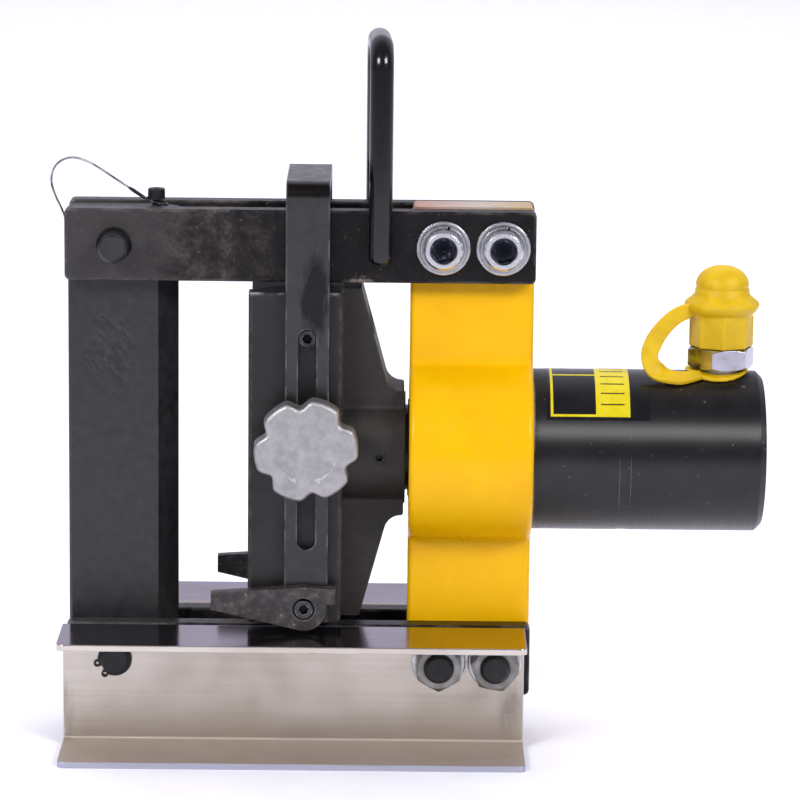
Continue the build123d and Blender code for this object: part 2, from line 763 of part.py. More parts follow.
# Vee die: a block with a right-angled groove towards the nose of the post
groove_x = die_left + vee_half - vee_root
with BuildPart() as vee_die:
    with BuildSketch(Plane.XY.offset(die_bottom)) as section:
        with BuildLine():
            Polyline(
                (die_left, -die_half),
                (die_right, -die_half),
                (die_right, die_half),
                (die_left, die_half),
                (die_left, vee_half),
                (groove_x, vee_root),
                (groove_x, -vee_root),
                (die_left, -vee_half),
                close=True,
            )
        make_face()
        shoulders = section.vertices().filter_by(
            lambda corner: abs(corner.X - die_left) < 1 and abs(corner.Y) < vee_half + 1
        )
        fillet(shoulders, vee_shoulder)
        chamfer(section.vertices().filter_by(lambda corner: abs(corner.Y) > die_half - 1), 1.5)
    extrude(amount=die_top - die_bottom)
    fillet(vee_die.edges().filter_by(Axis.Y).group_by(Axis.Z)[0].sort_by(Axis.X)[-1], 4)
    for sign in (-1, 1):
        for y in (-die_screw_y, die_screw_y):
            with BuildSketch(Plane(origin=(die_right, y, axis_z + sign * die_screw_rise), z_dir=(1, 0, 0))):
                Circle(die_screw_radius + run_fit)
            extrude(amount=-15, mode=Mode.SUBTRACT)
    add_rod(stirrup_x, guide_z, 3 + run_fit, -40, -20, Mode.SUBTRACT)
    add_rod(stirrup_x, guide_z, 3 + run_fit, 20, 40, Mode.SUBTRACT)
    add_rod(stirrup_x, knob_z, 3 + run_fit, 20, 40, Mode.SUBTRACT)
    add_rod(stirrup_x, knob_z, stud_radius + run_fit, -40, -18, Mode.SUBTRACT)
vee_die.part.label = "vee_die"
export_step(vee_die.part, "parts/vee_die.step")

# Guide screws on the die: their heads run in the stirrup slots
with BuildPart() as guide_screws:
    for sign, z in ((-1, guide_z), (1, guide_z), (1, knob_z)):
        add_rod(stirrup_x, z, guide_head, *sorted((sign * die_half, sign * (die_half + 6))))
        add_rod(stirrup_x, z, 3, *sorted((sign * die_half, sign * (die_half - 14))))
        socket = sorted((sign * (die_half + 3), sign * (die_half + 6)))
        add_hexagon(stirrup_x, z, 5, 0, *socket, Mode.SUBTRACT)
guide_screws.part.label = "guide_screws"
export_step(guide_screws.part, "parts/guide_screws.step")

# Stirrup: a strap bent over the rails, slotted on both sides of the die
stirrup_outer = stirrup_inner + stirrup_thick
with BuildPart() as height_stirrup:
    with BuildSketch(cross_plane(stirrup_x)) as section:
        with Locations((0, (stirrup_bottom + stirrup_top) / 2)):
            Rectangle(2 * stirrup_outer, stirrup_top - stirrup_bottom)
        fillet(section.vertices().group_by(Axis.Y)[-1], stirrup_bend)
        with Locations((0, (stirrup_bottom + stirrup_top) / 2 - stirrup_thick)):
            Rectangle(2 * stirrup_inner, stirrup_top - stirrup_bottom, mode=Mode.SUBTRACT)
        inside = section.vertices().filter_by(
            lambda corner: abs(abs(corner.X) - stirrup_inner) < 0.1 and corner.Y > axis_z
        )
        fillet(inside, stirrup_bend - stirrup_thick)
    extrude(amount=stirrup_width / 2, both=True)
    with BuildSketch(face_plane(0, stirrup_x, (slot_low + slot_high) / 2)):
        SlotCenterToCenter(slot_high - slot_low, slot_width, rotation=90)
    extrude(amount=60, both=True, mode=Mode.SUBTRACT)
    add_rod(finger_screw[0], finger_screw[1], 3 + run_fit, -60, 60, Mode.SUBTRACT)
height_stirrup.part.label = "height_stirrup"
export_step(height_stirrup.part, "parts/height_stirrup.step")

# Support fingers: a long tip under the busbar, a round foot and an ear hooked on the leg
stirrup_right = stirrup_x + stirrup_width / 2
for side, sign in (("front", -1), ("rear", 1)):
    inner_y = sign * stirrup_outer
    outer_y = sign * (stirrup_outer + finger_thick)
    with BuildPart() as finger:
        with BuildSketch(face_plane((inner_y + outer_y) / 2)) as outline:
            with BuildLine():
                Line((finger_tip, finger_tip_top), (finger_tip, finger_tip_low))
                Line((finger_tip, finger_tip_top), (stirrup_right, finger_top))
                CenterArc(finger_screw, finger_round, 0, 360)
            make_hull()
            with Locations(((finger_ear + stirrup_right - 1) / 2, (finger_top + finger_ear_low) / 2)):
                Rectangle(finger_ear - stirrup_right + 1, finger_top - finger_ear_low)
        extrude(amount=finger_thick / 2, both=True)
        with BuildSketch(face_plane((inner_y + outer_y) / 2)):
            with Locations(((finger_ear + stirrup_right + close_gap) / 2, (finger_top + finger_ear_low) / 2)):
                Rectangle(finger_ear - stirrup_right - close_gap, finger_top - finger_ear_low)
        extrude(amount=sign * (finger_thick / 2 + 4))
        fillet(end_edges(finger, 0 if sign < 0 else -1), 0.8)
        add_rod(*finger_screw, 3.2, -60, 60, Mode.SUBTRACT)
        add_rod(*finger_screw, 6.2, *sorted((outer_y, outer_y - sign * 4)), Mode.SUBTRACT)
    finger.part.label = f"{side}_support_finger"
    export_step(finger.part, f"parts/{side}_support_finger.step")

with BuildPart() as finger_screws:
    seat = stirrup_outer + finger_thick - 4
    for sign in (-1, 1):
        add_rod(*finger_screw, 5, *sorted((sign * seat, sign * (seat + 5))))
        add_rod(*finger_screw, 3, *sorted((sign * seat, sign * (stirrup_inner + 0.4))))
        add_hexagon(*finger_screw, 5, 10, *sorted((sign * (seat + 2), sign * (seat + 5))), Mode.SUBTRACT)
finger_screws.part.label = "finger_screws"
export_step(finger_screws.part, "parts/finger_screws.step")

# Star knob, its washer and the stud it turns on
with BuildPart() as clamp_knob:
    with BuildSketch(face_plane(-knob_back, stirrup_x, knob_z)) as outline:
        Circle(knob_radius)
        with PolarLocations(knob_valley + knob_scallop, 6, knob_turn):
            Circle(knob_scallop, mode=Mode.SUBTRACT)
        fillet(outline.vertices(), 3)
    extrude(amount=knob_thick)
    fillet(end_edges(clamp_knob, 0), 2.5)
    fillet(end_edges(clamp_knob, -1), 1.5)
    add_rod(stirrup_x, knob_z, knob_hub, -knob_back, -stirrup_outer - 2)
    add_rod(stirrup_x, knob_z, stud_radius + run_fit, -knob_back - 8, -stirrup_outer, Mode.SUBTRACT)
clamp_knob.part.label = "clamp_knob"
export_step(clamp_knob.part, "parts/clamp_knob.step")

with BuildPart() as knob_washer:
    add_rod(stirrup_x, knob_z, 14.5, -stirrup_outer - 1.9, -stirrup_outer - 0.1)
    add_rod(stirrup_x, knob_z, stud_radius + run_fit, -60, -40, Mode.SUBTRACT)
knob_washer.part.label = "knob_washer"
export_step(knob_washer.part, "parts/knob_washer.step")

with BuildPart() as clamp_stud:
    add_rod(stirrup_x, knob_z, stud_radius, -knob_back - 7, -die_half + 17)
    chamfer(end_edges(clamp_stud, 0), 1)
clamp_stud.part.label = "clamp_stud"
export_step(clamp_stud.part, "parts/clamp_stud.step")

# Coupler nipple: thread in the tube, hexagon and a round plug under the cap
coupler_axis = Axis((coupler_x, 0, 0), (0, 0, 1))
with BuildPart() as coupler_nipple:
    with BuildSketch(Plane.XY.offset(hex_bottom)):
        with Locations((coupler_x, 0)):
            RegularPolygon(hex_flats / 2, 6, major_radius=False, rotation=hex_turn)
    extrude(amount=hex_top - hex_bottom)
    hex_outer = hex_flats / sqrt(3) + 1
    for face, way in ((hex_bottom, 1), (hex_top, -1)):
        with BuildSketch(face_plane(0, coupler_x)):
            with BuildLine():
                Polyline((hex_flats / 2, face), (hex_outer, face), (hex_outer, face + way * 2), close=True)
            make_face()
        revolve(axis=coupler_axis, mode=Mode.SUBTRACT)
    thread_low = coupler_seat - 8.5
    for low, high, radius in (
        (thread_low, hex_bottom, coupler_thread),
        (hex_top, plug_top, plug_radius),
    ):
        with BuildSketch(Plane.XY.offset(low)):
            with Locations((coupler_x, 0)):
                Circle(radius)
        extrude(amount=high - low)
    chamfer(coupler_nipple.faces().sort_by(Axis.Z)[-1].edges(), 1)
    for low, radius in ((coupler_seat - 20, 3), (hex_bottom + 4, 8)):
        with BuildSketch(Plane.XY.offset(low)):
            with Locations((coupler_x, 0)):
                Circle(radius)
        extrude(amount=60, mode=Mode.SUBTRACT)
coupler_nipple.part.label = "coupler_nipple"
export_step(coupler_nipple.part, "parts/coupler_nipple.step")

with BuildPart() as coupler_valve:
    with BuildSketch(face_plane(0, coupler_x)):
        with BuildLine():
            Polyline(
                (0, hex_bottom + 5),
                (7, hex_bottom + 5),
                (7, plug_top - 10),
                (4, plug_top - 5),
                (4, plug_top - 1),
                (0, plug_top - 1),
                close=True,
            )
        make_face()
    revolve(axis=coupler_axis)
coupler_valve.part.label = "coupler_valve"
export_step(coupler_valve.part, "parts/coupler_valve.step")

with BuildPart() as coupler_seal_washer:
    with BuildSketch(Plane.XY.offset(coupler_seat)):
        with Locations((coupler_x, 0)):
            Circle(seal_radius)
            Circle(coupler_thread + run_fit, mode=Mode.SUBTRACT)
    extrude(amount=hex_bottom - coupler_seat)
coupler_seal_washer.part.label = "coupler_seal_washer"
export_step(coupler_seal_washer.part, "parts/coupler_seal_washer.step")

# Dust cap: a skirt with flats, a conical brim, a groove and a dome over the plug
skirt_low = hex_top + close_gap
dome_low = cap_groove_z + 0.6
shoulder_inset = cap_dome - cap_shoulder
crown_rise = cap_top - dome_low - cap_shoulder
crown_drop = (shoulder_inset ** 2 - crown_rise ** 2) / (2 * crown_rise)
crown_radius = cap_top - dome_low + crown_drop
crown_lean = degrees(atan2(crown_drop, shoulder_inset))
with BuildPart() as dust_cap:
    with BuildSketch(face_plane(0, coupler_x)):
        with BuildLine():
            Polyline(
                (0, plug_top + 2),
                (plug_radius + close_gap, plug_top + 2),
                (plug_radius + close_gap, skirt_low),
                (cap_skirt, skirt_low),
                (cap_skirt, cap_flange_low),
                (cap_flange, cap_flange_low),
                (cap_flange, cap_flange_low + cap_flange_edge),
                (cap_cone, cap_cone_top),
                (cap_band, cap_cone_top + 0.6),
                (cap_band, cap_groove_z - 0.6),
                (cap_groove, cap_groove_z),
                (cap_dome, dome_low),
            )
            CenterArc((cap_dome - cap_shoulder, dome_low), cap_shoulder, 0, crown_lean)
            CenterArc((0, dome_low - crown_drop), crown_radius, crown_lean, 90 - crown_lean)
            Line((0, cap_top), (0, plug_top + 2))
        make_face()
    revolve(axis=coupler_axis)
    with BuildSketch(Plane.XY.offset(skirt_low)):
        with Locations((coupler_x, 0)):
            Circle(cap_skirt + 1)
            RegularPolygon(cap_flat, cap_flats, major_radius=False, rotation=-90, mode=Mode.SUBTRACT)
    extrude(amount=cap_flange_low - skirt_low - 2, mode=Mode.SUBTRACT)
dust_cap.part.label = "dust_cap"
export_step(dust_cap.part, "parts/dust_cap.step")

# Cap strap: a ring draped over the tube under the hexagon, and a band that curls up to the cap
lie_radius = tube_radius + close_gap + strap_thick / 2


def on_tube(x, lean):
    """Place on top of the tube, lean degrees towards the front, and the way across there."""
    lean = radians(lean)
    return (x, -lie_radius * sin(lean), axis_z + lie_radius * cos(lean)), (0, cos(lean), sin(lean))


start_place, start_across = on_tube(160, 15)
lying_place, lying_across = on_tube(149, 20)
strap_sections = (
    (start_place, (-1, 0, 0), start_across, 8),
    (lying_place, (-1, 0, 0), lying_across, 11),
    ((140.5, -16, 212.2), (-1, 0, 0.25), (0, 0.9, 0.43), 11.5),
    ((133.6, -16, 216), (-0.62, 0, 0.78), (0.72, 0.3, 0.62), 10.5),
    ((130.9, -14.5, 223), (0, 0, 1), (1, 0, 0), 10),
    ((132.8, -12.8, 231), (0.42, 0.1, 0.9), (0.9, 0, -0.42), 10),
    ((138.6, -10.8, 238.4), (0.72, 0.2, 0.66), (0.66, 0, -0.75), 9.5),
    ((145.4, -8.8, 243.6), (0.86, 0.3, 0.42), (0.42, 0, -0.9), 8),
    ((150.9, -7, 246.6), (0.9, 0.3, 0.3), (0.15, 0, -1), 6),
)
with BuildPart() as dust_cap_strap:
    with BuildSketch(cross_plane(strap_ring_x, axis_z)):
        Circle(tube_radius + 2.5)
        Circle(tube_radius + close_gap, mode=Mode.SUBTRACT)
    extrude(amount=strap_ring, both=True)
    with BuildSketch(Plane.XY.offset(axis_z + 20)):
        with Locations((strap_ring_x, 0)):
            Circle(strap_ring)
        with Locations((coupler_x, 0)):
            Circle(seal_radius + 0.5, mode=Mode.SUBTRACT)
    extrude(amount=40, mode=Mode.INTERSECT)
    for place, way, across, width in strap_sections:
        with BuildSketch(Plane(origin=place, x_dir=across, z_dir=way)):
            RectangleRounded(width, strap_thick, 0.8)
    loft(ruled=True)
dust_cap_strap.part.label = "dust_cap_strap"
export_step(dust_cap_strap.part, "parts/dust_cap_strap.step")

# Lanyard: anchor screw on the post, an eye with a ferrule at each end, and the wire
with BuildPart() as lanyard_anchor_screw:
    for low, high, radius in (
        (post_top - 12, anchor_head_low, 2.45),
        (anchor_head_low, anchor_head_high, anchor_head),
    ):
        with BuildSketch(Plane.XY.offset(low)):
            with Locations((anchor_x, 0)):
                Circle(radius)
        extrude(amount=high - low)
    chamfer(lanyard_anchor_screw.faces().sort_by(Axis.Z)[-1].edges(), 0.6)
    with BuildSketch(Plane.XY.offset(anchor_head_high)):
        with Locations((anchor_x, 0)):
            RegularPolygon(2, 6, major_radius=False)
    extrude(amount=-2.5, mode=Mode.SUBTRACT)
lanyard_anchor_screw.part.label = "lanyard_anchor_screw"
export_step(lanyard_anchor_screw.part, "parts/lanyard_anchor_screw.step")

eye_tilt = radians(16)
eye_centre = Vector(anchor_x, 0, post_top + 2.5)
anchor_way = Vector(-0.84, 0.05, 0.54).normalized()
anchor_start = eye_centre + Vector(-cos(eye_tilt), 0, sin(eye_tilt)) * (eye_radius + 0.6)
wire_start = anchor_start + anchor_way * ferrule_length
with BuildPart() as lanyard_anchor_eye:
    eye_side = eye_centre + Vector(0, eye_radius, 0)
    with BuildSketch(Plane(origin=eye_side, z_dir=(cos(eye_tilt), 0, -sin(eye_tilt)))):
        Circle(wire_radius)
    revolve(axis=Axis(eye_centre, Vector(sin(eye_tilt), 0, cos(eye_tilt))))
    with BuildSketch(Plane(origin=anchor_start, z_dir=anchor_way)):
        Circle(ferrule_radius)
    extrude(amount=ferrule_length)
lanyard_anchor_eye.part.label = "lanyard_anchor_eye"
export_step(lanyard_anchor_eye.part, "parts/lanyard_anchor_eye.step")

loop_centre = Vector(pin_x, lug_eye_y, upper_z - loop_radius)
pin_way = Vector(cos(radians(210)), 0, sin(radians(210)))
pin_start = loop_centre + Vector(-0.7, 0, -0.7) * (loop_radius + 0.4)
wire_end = pin_start + pin_way * pin_ferrule_length
with BuildPart() as lanyard_pin_eye:
    with BuildSketch(Plane(origin=loop_centre + Vector(0, 0, loop_radius), z_dir=(1, 0, 0))):
        Circle(wire_radius)
    revolve(axis=Axis(loop_centre, (0, 1, 0)))
    with BuildSketch(Plane(origin=pin_start, z_dir=pin_way)):
        Circle(ferrule_radius)
    extrude(amount=pin_ferrule_length)
lanyard_pin_eye.part.label = "lanyard_pin_eye"
export_step(lanyard_pin_eye.part, "parts/lanyard_pin_eye.step")

# The wire leaves the pin low behind the rear rail, hooks up and comes over the end of the rails
hook = [wire_end]
for heading in (210, 183, 156, 129):
    hook.append(hook[-1] + Vector(cos(radians(heading)), 0, sin(radians(heading))) * hook_run)
route = [
    wire_start,
    wire_start + anchor_way * 12.5,
    Vector(-181, 3, 326.2),
    Vector(-192.2, 8, 328.8),
    Vector(-201.4, 13.5, 323.6),
    Vector(-204.6, 19, 314),
    Vector(-202.6, 25, 304.4),
    Vector(-197.8, 31.5, 293),
    Vector(-195.8, 36, 281),
] + hook[::-1]
wire_radii = []
for before, at, after in zip(route, route[1:], route[2:]):
    turn = radians((at - before).get_angle(after - at))
    shorter = min((at - before).length, (after - at).length)
    wire_radii.append(0.45 * shorter / tan(turn / 2))
with BuildPart() as lanyard_wire:
    with BuildLine() as wire_line:
        FilletPolyline(*route, radius=wire_radii)
    with BuildSketch(Plane(origin=wire_start, z_dir=wire_line.line % 0)):
        Circle(wire_radius)
    sweep(path=wire_line.line)
lanyard_wire.part.label = "lanyard_wire"
export_step(lanyard_wire.part, "parts/lanyard_wire.step")
wire_length = wire_line.wire().length
print("wire radii", [round(radius, 1) for radius in wire_radii])
print("wire length", round(wire_length, 1))
print("wire volume over section by length", lanyard_wire.part.volume / (pi * wire_radius ** 2 * wire_length))
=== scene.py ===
"""Looks of the hydraulic busbar bender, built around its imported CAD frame. Metres, +Z up."""
from math import atan2, cos, pi, radians, sin, sqrt

import bmesh
import bpy
from mathutils import Matrix, Vector


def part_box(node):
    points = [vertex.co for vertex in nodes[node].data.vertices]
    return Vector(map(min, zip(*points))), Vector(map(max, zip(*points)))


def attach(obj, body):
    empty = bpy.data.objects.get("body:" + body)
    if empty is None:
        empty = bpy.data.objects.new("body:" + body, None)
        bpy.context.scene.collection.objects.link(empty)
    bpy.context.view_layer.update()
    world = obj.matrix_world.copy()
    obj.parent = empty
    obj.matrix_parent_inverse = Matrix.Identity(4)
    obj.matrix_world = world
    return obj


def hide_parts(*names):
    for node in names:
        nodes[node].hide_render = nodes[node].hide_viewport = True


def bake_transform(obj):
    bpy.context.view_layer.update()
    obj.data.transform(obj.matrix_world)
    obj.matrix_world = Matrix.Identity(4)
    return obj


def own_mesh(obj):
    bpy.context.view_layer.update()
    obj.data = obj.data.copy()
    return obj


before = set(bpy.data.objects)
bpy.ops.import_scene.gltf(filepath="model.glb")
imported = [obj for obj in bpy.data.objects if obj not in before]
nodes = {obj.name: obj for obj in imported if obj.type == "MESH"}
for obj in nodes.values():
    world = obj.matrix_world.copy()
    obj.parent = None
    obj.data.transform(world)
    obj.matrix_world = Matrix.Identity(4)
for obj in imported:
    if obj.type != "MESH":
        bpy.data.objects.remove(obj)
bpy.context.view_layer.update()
mm = 0.001

# Sizes shared with the part's source
axis_z = 167 * mm
upper_z = 284 * mm
lower_z = 50 * mm
bar_face = 24 * mm
tube_radius = 45 * mm
handle_x = -20 * mm
coupler_x = 171.5 * mm
stirrup_x = -59 * mm
knob_z = 176.5 * mm
knob_front = -63 * mm
bolt_radius = 8 * mm
top_bolt_x = (15.3 * mm, 48.3 * mm)
base_bolt_x = (15.4 * mm, 46.8 * mm)
socket_radius = 7.4 * mm
eye_centre = Vector((-144, 0, 305)) * mm
pin_eye_centre = Vector((-166, 37.3, 278)) * mm

# The camera, fitted to edges and bolt centres of the machine
camera_eye = (-0.0166, -2.1859, 0.6147)
camera_pitch = radians(10.897)
camera_yaw = radians(0.235)
camera_roll = radians(0.616)
camera_lens = 178.65
camera_sensor = 36

camera_data = bpy.data.cameras.new("camera")
camera_data.lens = camera_lens
camera_data.sensor_width = camera_sensor
camera_data.clip_end = 100
camera = bpy.data.objects.new("camera", camera_data)
bpy.context.collection.objects.link(camera)
camera.matrix_world = (
    Matrix.Translation(camera_eye)
    @ Matrix.Rotation(-camera_yaw, 4, "Z")
    @ Matrix.Rotation(pi / 2 - camera_pitch, 4, "X")
    @ Matrix.Rotation(camera_roll, 4, "Z")
)
bpy.context.scene.camera = camera

# Sockets of the Mix node when it blends colours
MIX_FACTOR = 0
MIX_A = 6
MIX_B = 7


def linear(colour):
    """Linear RGBA of an sRGB hex colour such as C0FFEE."""
    parts = [int(colour[at:at + 2], 16) / 255 for at in (0, 2, 4)]
    parts = [part / 12.92 if part <= 0.04045 else ((part + 0.055) / 1.055) ** 2.4 for part in parts]
    return (*parts, 1)


def grain(size):
    """Texture scale for a pattern of that size in millimetres, on Object coordinates in metres."""
    return 1 / (size * mm)


def set_inputs(node, inputs):
    """Give sockets, by name or number, a value or a link from an output or from a node's output in use."""
    for socket, value in inputs.items():
        if isinstance(value, bpy.types.Node):
            value = next(output for output in value.outputs if output.enabled)
        if isinstance(value, bpy.types.NodeSocket):
            node.id_data.links.new(value, node.inputs[socket])
        else:
            node.inputs[socket].default_value = value


def add_node(tree, kind, inputs=(), stops=(), **settings):
    """Add a shader node. inputs go to its sockets by name or in order, and stops fill a colour ramp."""
    node = tree.nodes.new("ShaderNode" + kind)
    for name, value in settings.items():
        setattr(node, name, value)
    set_inputs(node, inputs if isinstance(inputs, dict) else dict(enumerate(inputs)))
    for at, (position, colour) in enumerate(stops):
        stop = node.color_ramp.elements[at] if at < 2 else node.color_ramp.elements.new(position)
        stop.position = position
        stop.color = linear(colour)
    return node


def new_material(name, values=None):
    """A material with a Principled shader set to these values, given by socket name."""
    material = bpy.data.materials.new(name)
    material.use_nodes = True
    tree = material.node_tree
    shader = tree.nodes["Principled BSDF"]
    set_inputs(shader, values or {})
    place = add_node(tree, "TexCoord").outputs["Object"]
    return material, tree, shader, place


def mottled(tree, place, size, stops, detail=5, roughness=0.5):
    """Colour that drifts between stops in blotches of that size in millimetres, and the blotches' noise."""
    noise = add_node(tree, "TexNoise", {
        "Vector": place, "Scale": grain(size), "Detail": detail, "Roughness": roughness
    })
    return add_node(tree, "ValToRGB", (noise,), stops=stops), noise


def speckled(tree, place, size, start, full, most=1, detail=2, roughness=0.5):
    """Mask of scattered spots of that size in millimetres: noise from start to full, at most so strong."""
    noise = add_node(tree, "TexNoise", {
        "Vector": place, "Scale": grain(size), "Detail": detail, "Roughness": roughness
    })
    return add_node(tree, "MapRange", (noise, start, full, 0, most))


def ragged(tree, mask, noise, start, full, most=1):
    """A mask broken up by noise, from start to full and at most so strong."""
    broken = add_node(tree, "Math", (mask, noise), operation="MULTIPLY")
    return add_node(tree, "MapRange", (broken, start, full, 0, most))


def soft_patch(tree, place, centre, reach):
    """Mask that fades out from a centre; centre and reach along X, Y and Z in millimetres."""
    moved = add_node(tree, "Mapping", {
        "Vector": place,
        "Location": [-at / size for at, size in zip(centre, reach)],
        "Scale": [grain(size) for size in reach],
    })
    return add_node(tree, "TexGradient", (moved,), gradient_type="SPHERICAL").outputs["Fac"]


def worn_edges(tree, place, reach, patch):
    """Mask of outer edges, where handling rubs a finish off in patches; sizes in millimetres."""
    rim = add_node(
        tree, "AmbientOcclusion", {"Distance": reach * mm}, inside=True, only_local=True, samples=6
    )
    near = add_node(tree, "MapRange", (rim.outputs["AO"], 0.80, 0.45))
    share = speckled(tree, place, patch, 0.42, 0.62, detail=4, roughness=0.55)
    return add_node(tree, "Math", (near, share), operation="MULTIPLY")


def painted_recess_shade(tree, reach):
    """Mask of painted shade where other faces stand close, as in a socket; reach in millimetres."""
    open_sky = add_node(tree, "AmbientOcclusion", {"Distance": reach * mm}, samples=8)
    return add_node(tree, "MapRange", (open_sky.outputs["AO"], 0.80, 0.40, 0, 0.95))


def paint(tree, shader, colour, *layers):
    """Colour a shader: a ground, then layers, each a mask and the hex colour that it lays over."""
    for mask, layer in layers:
        colour = add_node(
            tree, "Mix", {MIX_FACTOR: mask, MIX_A: colour, MIX_B: linear(layer)}, data_type="RGBA"
        )
    set_inputs(shader, {"Base Color": colour})


def uneven_skin(tree, shader, place, rough, patch, grit, depth, corner=0.3):
    """Gloss that varies in patches, a fine relief and slightly rounded corners; sizes in millimetres."""
    patches = add_node(tree, "TexNoise", {"Vector": place, "Scale": grain(patch), "Detail": 5})
    gloss = add_node(tree, "MapRange", (patches, 0.3, 0.75, rough - 0.06, rough + 0.10))
    soft = add_node(tree, "Bevel", {"Radius": corner * mm}, samples=4)
    fine = add_node(tree, "TexNoise", {"Vector": place, "Scale": grain(grit), "Detail": 4})
    relief = add_node(tree, "Bump", {"Height": fine, "Distance": depth * mm, "Strength": 0.6, "Normal": soft})
    set_inputs(shader, {"Roughness": gloss, "Normal": relief})


def rolled_marks(tree, shader, place, centre, reach, depth):
    """Add a patch of shallow slanting dents, as scale rolled into a bar leaves; sizes in millimetres."""
    slanted = add_node(
        tree,
        "Mapping",
        {"Vector": place, "Rotation": (0, radians(-35), 0), "Scale": (1, 1, 1.8)},
        vector_type="TEXTURE",
    )
    flecks = add_node(tree, "TexNoise", {"Vector": slanted, "Scale": grain(5), "Detail": 2})
    dents = ragged(tree, soft_patch(tree, place, centre, reach), flecks, 0.20, 0.44)
    skin = shader.inputs["Normal"].links[0].from_socket
    relief = add_node(tree, "Bump", {"Height": dents, "Distance": depth * mm, "Normal": skin}, invert=True)
    set_inputs(shader, {"Normal": relief})


def black_steel(name, dark, pale, worn, rough, mottle, reach, shine=0.4, grit=0.9, marks=None):
    """Blackened or painted steel: mottled colour, uneven gloss, paler rubbed edges, any marks."""
    material, tree, shader, place = new_material(name, {"Specular IOR Level": shine})
    colour, _ = mottled(tree, place, mottle, ((0.35, dark), (0.72, pale)), 6, 0.62)
    paint(tree, shader, colour, (worn_edges(tree, place, reach, 7), worn))
    uneven_skin(tree, shader, place, rough, 3.5, grit, 0.03)
    if marks:
        rolled_marks(tree, shader, place, *marks)
    return material


def hot_rolled_bar():
    """Blackened flat bar: greyer towards the left end, then pitted brown scale, blacker to the right."""
    material, tree, shader, place = new_material("blackened_hot_rolled_bar", {"Specular IOR Level": 0.22})
    along = add_node(tree, "SeparateXYZ", (place,)).outputs["X"]
    scale = ((0.34, "0A0909"), (0.52, "2A2626"), (0.70, "4C4542"))
    colour, blotches = mottled(tree, place, 11, scale, 9, 0.72)
    # Along X: darker towards the right, paler and less pitted towards the left end
    right_darkening = add_node(tree, "MapRange", (along, -105 * mm, -50 * mm, 0, 0.86))
    left_paling = add_node(tree, "MapRange", (along, -165 * mm, -115 * mm, 0.85, -0.35))
    blotched = add_node(tree, "Math", (blotches, 0.9), operation="MULTIPLY")
    share = add_node(tree, "Math", (left_paling, blotched), operation="ADD")
    near_end = add_node(tree, "MapRange", (share, 0.25, 1))
    specks = add_node(tree, "TexNoise", {"Vector": place, "Scale": grain(2.2), "Detail": 4, "Roughness": 0.6})
    pits = add_node(tree, "MapRange", (specks, 0.50, 0.66, 0, 0.75))
    pit_fade = add_node(tree, "MapRange", (near_end, 0.1, 0.9, 1, 0.18))
    pitting = add_node(tree, "Math", (pits, pit_fade), operation="MULTIPLY")
    glints = add_node(tree, "MapRange", (specks, 0.36, 0.28, 0, 0.4))
    patch = soft_patch(tree, place, (-31, -24, 264), (18, 8, 9))
    scuff = ragged(tree, patch, specks, 0.26, 0.62)
    # The pale rubbed edges of the last layer are also a painted highlight along the bars' top edges
    paint(
        tree, shader, colour, (right_darkening, "060506"), (near_end, "393637"), (pitting, "121011"),
        (glints, "766E6A"), (scuff, "8E837C"), (worn_edges(tree, place, 2.2, 9), "A5A0A0"),
    )
    uneven_skin(tree, shader, place, 0.36, 4, 1.1, 0.05, corner=0.9)
    return material


def strap_steel():
    """Blackened strap: dull grey-black, with dark brown oil in runs down the leg and a dull dark brown band
    along the top bend that is a painted dark reflection.
    """
    material, tree, shader, place = new_material("blackened_bent_strap")
    colour, _ = mottled(tree, place, 11, ((0.34, "0B0A0C"), (0.70, "181719")), 6, 0.6)
    hanging = add_node(tree, "Mapping", {"Vector": place, "Scale": (1, 1, 0.45)})
    runs = add_node(tree, "TexNoise", {"Vector": hanging, "Scale": grain(7), "Detail": 7, "Roughness": 0.68})
    streak = soft_patch(tree, place, (-55, -42, 258), (13, 14, 40))
    run = ragged(tree, streak, runs, 0.16, 0.28, 0.75)
    # Dark, duller band along the top bend: a painted dark reflection; the runs down the leg are oil
    bend = soft_patch(tree, place, (-59, -44, 319), (90, 9, 8.5))
    painted_bend_band = add_node(tree, "MapRange", (bend, 0.25, 0.5))
    oil_and_painted_band = add_node(tree, "Math", (run, painted_bend_band), operation="MAXIMUM")
    height = add_node(tree, "SeparateXYZ", (place,)).outputs["Z"]
    sheen = add_node(tree, "MapRange", (height, 90 * mm, 260 * mm, 0.55, 0.85))
    dulled = add_node(tree, "MapRange", (oil_and_painted_band, 0, 1, 1, 0.2))
    shine = add_node(tree, "Math", (sheen, dulled), operation="MULTIPLY")
    set_inputs(shader, {"Specular IOR Level": shine})
    paint(tree, shader, colour, (oil_and_painted_band, "0B0706"), (worn_edges(tree, place, 1.8, 8), "6A6669"))
    uneven_skin(tree, shader, place, 0.30, 5, 1.0, 0.03, corner=0.8)
    return material


def scuffed_finger():
    """Blackened finger rubbed by busbars: dull pinkish blotches and a few pale specks."""
    material, tree, shader, place = new_material("scuffed_blackened_finger", {"Specular IOR Level": 0.5})
    blotches = ((0.36, "1B191B"), (0.54, "2F2B2D"), (0.74, "5E4E4D"))
    colour, _ = mottled(tree, place, 6, blotches, 6, 0.6)
    specks = speckled(tree, place, 1.6, 0.69, 0.75, 0.5, roughness=0.4)
    paint(tree, shader, colour, (specks, "9A918D"), (worn_edges(tree, place, 1.6, 5), "766C69"))
    uneven_skin(tree, shader, place, 0.42, 4, 0.9, 0.04)
    return material


def bright_plating(name, pale, dull, stain, rough, darkening="16161A", rub="D6D6DA"):
    """Plated steel: clear metal with cloudy stains, rubbed edges and painted shade in the recesses."""
    material, tree, shader, place = new_material(name, {"Metallic": 1})
    colour, _ = mottled(tree, place, 9, ((0.40, pale), (0.56, dull), (0.74, stain)))
    # The last layer is painted shade where faces stand close, as in sockets and round washers
    paint(tree, shader, colour, (worn_edges(tree, place, 1.0, 6), rub), (painted_recess_shade(tree, 4.5), darkening))
    uneven_skin(tree, shader, place, rough, 4, 0.8, 0.01, corner=0.6)
    return material


